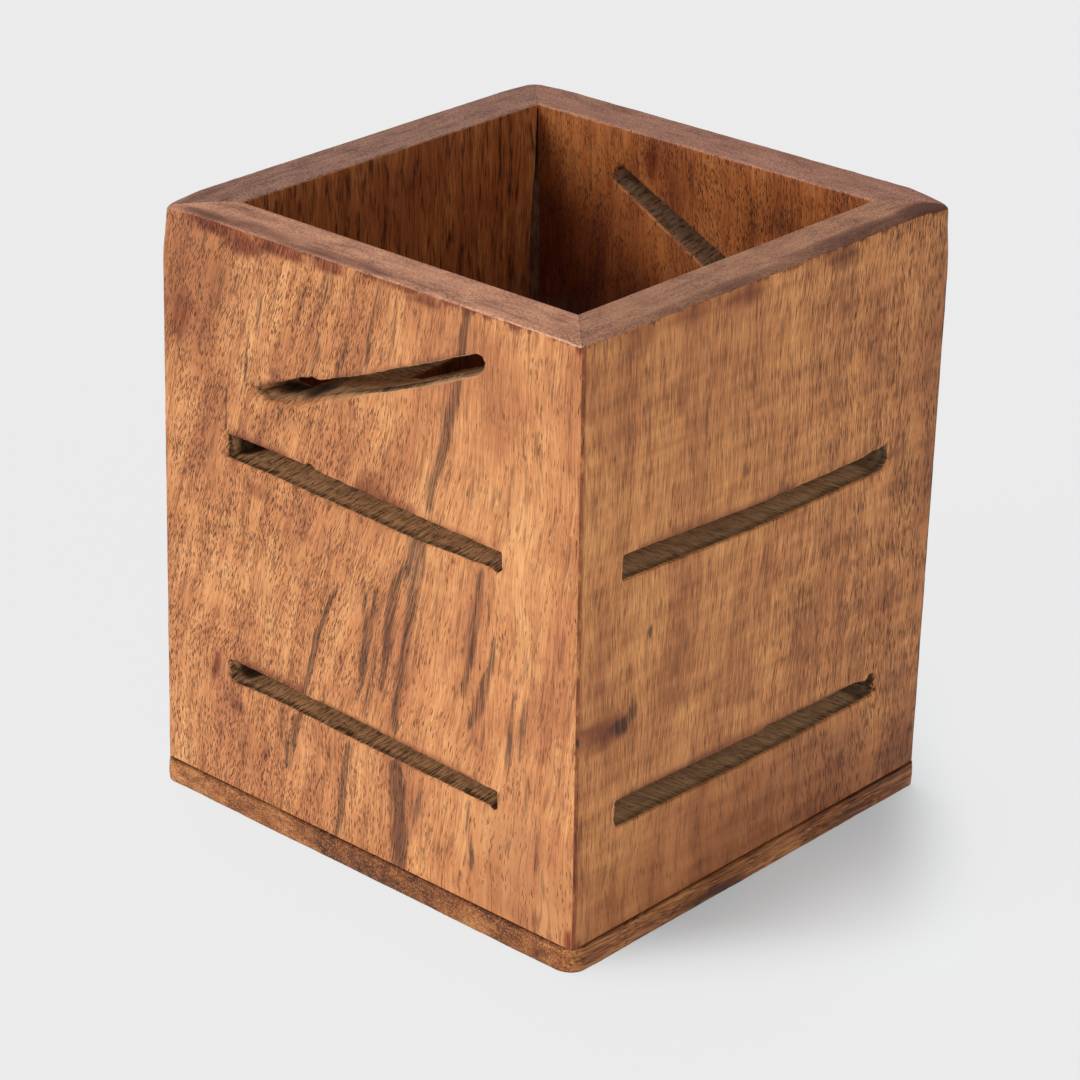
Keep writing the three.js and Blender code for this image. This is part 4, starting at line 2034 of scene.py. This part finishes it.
LEFT_MARKS = FaceMarks(
    stain_and_shade=RIGHT_SLOT_STAINS,
    rim=(
        Smudge(36.0, 2.2, 9.0, 1.2, 0.5),
        Smudge(14.0, 3.4, 26.0, 0.35, 0.55, 3.0),
        Smudge(-6.0, 6.2, 22.0, 0.3, 0.45, 4.0),
    ),
    # Painted shade on the inner face.
    inside=(Smudge(18.0, 62.0, 18.0, 18.0, 0.75), Smudge(-14.0, 52.0, 24.0, 14.0, 0.6)),
)


@dataclass(frozen=True)
class FloorFinish:
    """A plain pale floor: even to the camera, but with the cup's soft shadow to its right.

    Spots give where the shadow's sides end, in millimetres: sideways to the right and towards the
    viewer. The shares say how much of the even tone the camera sees in the shadow and in the open.
    """

    paint: Colour = (0.792, 0.80, 0.808)
    seen: Colour = (0.831, 0.831, 0.831)
    seen_shaded: Colour = (0.831, 0.876, 0.898)
    turn: float = VIEW_AZIMUTH
    left_end: Spot = (-4.0, 14.0)
    right_end: Spot = (52.0, 72.0)
    near_end: Spot = (42.0, 66.0)
    far_end: Spot = (-62.0, -24.0)
    shaded_share: float = 0.34
    open_share: float = 0.95

    def _shade(self, bench: Bench) -> Field:
        """Share of the zone in which the cup's shadow falls.

        Args:
            bench: Bench of the material.

        Returns:
            The share.
        """
        x, y, _ = bench.parts(bench.node("ShaderNodeNewGeometry").outputs["Position"])
        level = math.cos(math.radians(self.turn)) / MM
        away = math.sin(math.radians(self.turn)) / MM
        sideways, nearer = x * level + y * away, x * away - y * level
        shade = sideways.between(*self.left_end, *self.right_end)
        return shade * nearer.between(*self.far_end, *self.near_end)

    def build(self) -> bpy.types.Material:
        """Lays out the finish.

        Returns:
            The material.
        """
        bench = Bench("pale_floor")
        matt = bench.node("ShaderNodeBsdfDiffuse", None, {"Color": self.paint})
        shade = self._shade(bench)
        even_share = self.open_share + shade * (self.shaded_share - self.open_share)
        tone = bench.blend(shade, self.seen, self.seen_shaded)
        even = bench.node("ShaderNodeEmission", None, {"Color": tone, "Strength": 1.0})
        path = bench.node("ShaderNodeLightPath")
        rays = ("Is Camera Ray", "Is Glossy Ray", "Is Transmission Ray")
        camera, glossy, passing = (Field(bench, path.outputs[ray]) for ray in rays)
        share = camera.most(glossy).most(passing) * even_share
        inputs = {0: share, 1: matt.outputs[0], 2: even.outputs[0]}
        mixed = bench.node("ShaderNodeMixShader", None, inputs)
        bench.node("ShaderNodeOutputMaterial", None, {"Surface": mixed.outputs[0]})
        return bench.material


@dataclass(frozen=True)
class Lamp:
    """A far soft lamp: the direction towards it, its strength and its width in degrees."""

    name: str
    towards: Triple
    strength: float
    width: float

    def hang(self) -> None:
        """Adds the lamp to the scene."""
        light = bpy.data.lights.new(self.name, "SUN")
        light.energy = self.strength
        light.angle = math.radians(self.width)
        lamp = bpy.data.objects.new(self.name, light)
        lamp.rotation_euler = Vector(self.towards).to_track_quat("Z", "Y").to_euler()
        bpy.context.scene.collection.objects.link(lamp)


@dataclass
class Studio:
    """The floor, the lamps and the camera."""

    floor_half: float = 3000.0
    sky: Colour = (1.0, 1.0, 1.0)
    sky_strength: float = 0.12
    lamps: tuple[Lamp, ...] = (
        Lamp("window", (-0.33, -0.85, 0.41), 1.75, 26.0),
        Lamp("ceiling", (-0.20, 0.02, 0.98), 1.85, 22.0),
        Lamp("fill", (0.85, -0.42, 0.30), 1.15, 60.0),
    )
    view_azimuth: float = VIEW_AZIMUTH
    view_elevation: float = 24.547
    view_roll: float = 1.381
    view_distance: float = 575.36
    view_shift: Spot = (-1.496, -6.063)
    target_height: float = 50.0
    focal_length: float = 121.607
    film_width: float = 36.0
    seen_from: float = 0.01
    seen_to: float = 50.0

    def _floor(self) -> None:
        """Lays the floor."""
        reach = self.floor_half
        turns = ((-1, -1), (1, -1), (1, 1), (-1, 1))
        corners = np.array([(across * reach, along * reach, 0.0) for across, along in turns])
        floor = Piece("floor", corners, [[0, 1, 2, 3]])
        floor.object.data.materials.append(FloorFinish().build())

    def _light(self) -> None:
        """Hangs the lamps and fills the room with weak plain light."""
        for lamp in self.lamps:
            lamp.hang()
        world = bpy.data.worlds.new("room")
        world.use_nodes = True
        background = world.node_tree.nodes["Background"]
        background.inputs["Color"].default_value = (*self.sky, 1.0)
        background.inputs["Strength"].default_value = self.sky_strength
        bpy.context.scene.world = world

    def _axes(self) -> tuple[Vector, Vector, Vector]:
        """Works out how the camera is turned.

        Returns:
            Its directions to the right, up and back.
        """
        azimuth, elevation = math.radians(self.view_azimuth), math.radians(self.view_elevation)
        roll, flat = math.radians(self.view_roll), math.cos(elevation)
        level = Vector((math.cos(azimuth), math.sin(azimuth), 0.0))
        back = Vector(
            (math.sin(azimuth) * flat, -math.cos(azimuth) * flat, math.sin(elevation))
        )
        upright = back.cross(level)
        right = level * math.cos(roll) + upright * math.sin(roll)
        above = upright * math.cos(roll) - level * math.sin(roll)
        return right, above, back

    def _camera(self) -> None:
        """Sets the camera up at the viewing angle."""
        right, above, back = self._axes()
        sideways, upwards = self.view_shift
        middle = Vector((0.0, 0.0, self.target_height))
        spot = middle + back * self.view_distance + right * sideways + above * upwards
        lens = bpy.data.cameras.new("camera")
        lens.lens = self.focal_length
        lens.sensor_width = self.film_width
        lens.sensor_fit = "HORIZONTAL"
        lens.clip_start = self.seen_from
        lens.clip_end = self.seen_to
        camera = bpy.data.objects.new("camera", lens)
        turned = Matrix((right, above, back)).transposed().to_4x4()
        camera.matrix_world = Matrix.Translation(spot * MM) @ turned
        bpy.context.scene.collection.objects.link(camera)
        bpy.context.scene.camera = camera

    def build(self) -> None:
        """Sets up the whole studio."""
        self._floor()
        self._light()
        self._camera()
        bpy.context.scene.view_settings.view_transform = "Standard"


RIGHT_TONES = WoodTones(
    dark=(0.22, 0.067, 0.018),
    middle=(0.58, 0.222, 0.068),
    light=(0.82, 0.37, 0.125),
    rosy=(0.46, 0.160, 0.052),
    rim_light=(0.42, 0.205, 0.115),
    cheek_light=(0.75, 0.47, 0.255),
    cheek_dark=(0.17, 0.092, 0.045),
)
# The inside tones below are painted shade on the inner faces, partly their own darker wood.
BACK_TONES = WoodTones(
    inside=(0.60, 0.44, 0.29), rim_light=(0.38, 0.18, 0.12), cheek_light=(0.42, 0.225, 0.12)
)
LEFT_TONES = WoodTones(
    inside=(0.62, 0.46, 0.33), rim_light=(0.34, 0.172, 0.118), rim_dark=(0.12, 0.05, 0.033)
)


@dataclass
class PenCup:
    """The whole cup, built board by board.

    Its corners stand at the ends of the front, right, back and left walls.
    """

    sizes: CupSizes
    body: str = "root"
    corners: tuple[Corner, ...] = (
        Corner(Arris(0.8, 0.9, 10.0, 1.0), RimEdge(0.45, 0.35)),
        Corner(Arris(0.9, 2.4, 12.0, 2.0), RimEdge(1.6, 0.8)),
        Corner(Arris(1.2, 2.0, 14.0, 3.0), RimEdge(0.9, 0.6)),
        Corner(Arris(0.9, 2.5, 9.0, 4.0), RimEdge(1.2, 0.9)),
    )

    def _walls(self, fit: HandFit) -> list[WallBoard]:
        """The four walls in order round the cup, in finer steps where the camera is nearer.

        Args:
            fit: What hand work does to the shape.

        Returns:
            The walls.
        """
        level = (FRONT_MIDDLE_SLOT, FRONT_LOWER_SLOT)
        sides = (RIGHT_MIDDLE_SLOT, RIGHT_LOWER_SLOT)
        front, back = (FRONT_SLANTED_SLOT, *level), (BACK_SLANTED_SLOT, *level)
        fine, middling, coarse = (0.35, 1.2), (0.45, 1.4), (0.7, 2.0)
        plan = (
            (Side.FRONT, RimEdge(0.45, 0.35), front, FRONT_MARKS, fine),
            (Side.RIGHT, RimEdge(2.2, 0.6), sides, RIGHT_MARKS, middling),
            (Side.BACK, RimEdge(0.5, 0.35), back, BACK_MARKS, coarse),
            (Side.LEFT, RimEdge(0.6, 0.4), sides, LEFT_MARKS, coarse),
        )
        walls = []
        for side, rim, slots, marks, steps in plan:
            start, end = self.corners[side.value - 1], self.corners[side.value]
            walls.append(WallBoard(side, self.sizes, fit, start, end, rim, slots, marks, *steps))
        return walls

    def _finishes(self) -> dict[Side, WallFinish]:
        """Chooses how the wood of each wall looks.

        Returns:
            The finishes by wall.
        """
        sizes = self.sizes
        return {
            Side.FRONT: WallFinish(
                Side.FRONT, sizes, tint=0.53, pore_share=(0.9, 0.14), lip_over=(72.0, 74.0)
            ),
            Side.RIGHT: WallFinish(
                Side.RIGHT, sizes, RIGHT_TONES, lean=0.03, seed=2.3, porous=(-10.0, 34.0),
                pore_size=(0.25, 3.0), pore_share=(0.08, 0.75), cross_figure=0.7, fibrous=2.0,
                rim_soil=1.4, arris_line=0.75, light_and_tone_side=(-43.0, 43.0), light_and_tone_gain=-0.08,
                lined=0.4, striped=0.75, torn=0.7, edge_highlight=NOWHERE,
            ),
            Side.BACK: WallFinish(
                Side.BACK, sizes, BACK_TONES, lean=0.12, seed=4.9, porous=(-30.0, 40.0),
                pore_size=(0.26, 1.5), pore_share=(0.85, 0.75), mottle=1.6, lined=0.4,
                arris_line=0.5, edge_highlight=NOWHERE,
            ),
            Side.LEFT: WallFinish(
                Side.LEFT, sizes, LEFT_TONES, lean=0.02, seed=7.1, pore_size=(0.24, 4.5),
                pore_share=(0.3, 0.3), mottle=0.7, cross_figure=0.1, lined=0.85, striped=1.2,
                arris_line=0.5, edge_highlight=NOWHERE,
            ),
        }

    def build(self) -> None:
        """Builds and dresses every board, and reports each piece."""
        fit = HandFit(self.sizes)
        finishes = self._finishes()
        for wall in self._walls(fit):
            piece = wall.build()
            piece.dress(finishes[wall.side].build(), self.body, wall.side.finish_slot)
            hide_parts(wall.side.node)
        base = BaseBoard(self.sizes, fit).build()
        base.dress(BaseFinish(self.sizes).build(), self.body, "base_wood")
        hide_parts("base_board")
        bead = GlueBead(self.sizes, fit).build()
        bead.dress(GlueFinish().build(), self.body, Side.LEFT.finish_slot)


def main() -> None:
    """Builds the studio and the cup."""
    logging.basicConfig(level=logging.INFO, format="%(name)s: %(message)s")
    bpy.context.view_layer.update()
    Studio().build()
    PenCup(CupSizes.from_frame()).build()


if __name__ == "__main__":
    main()
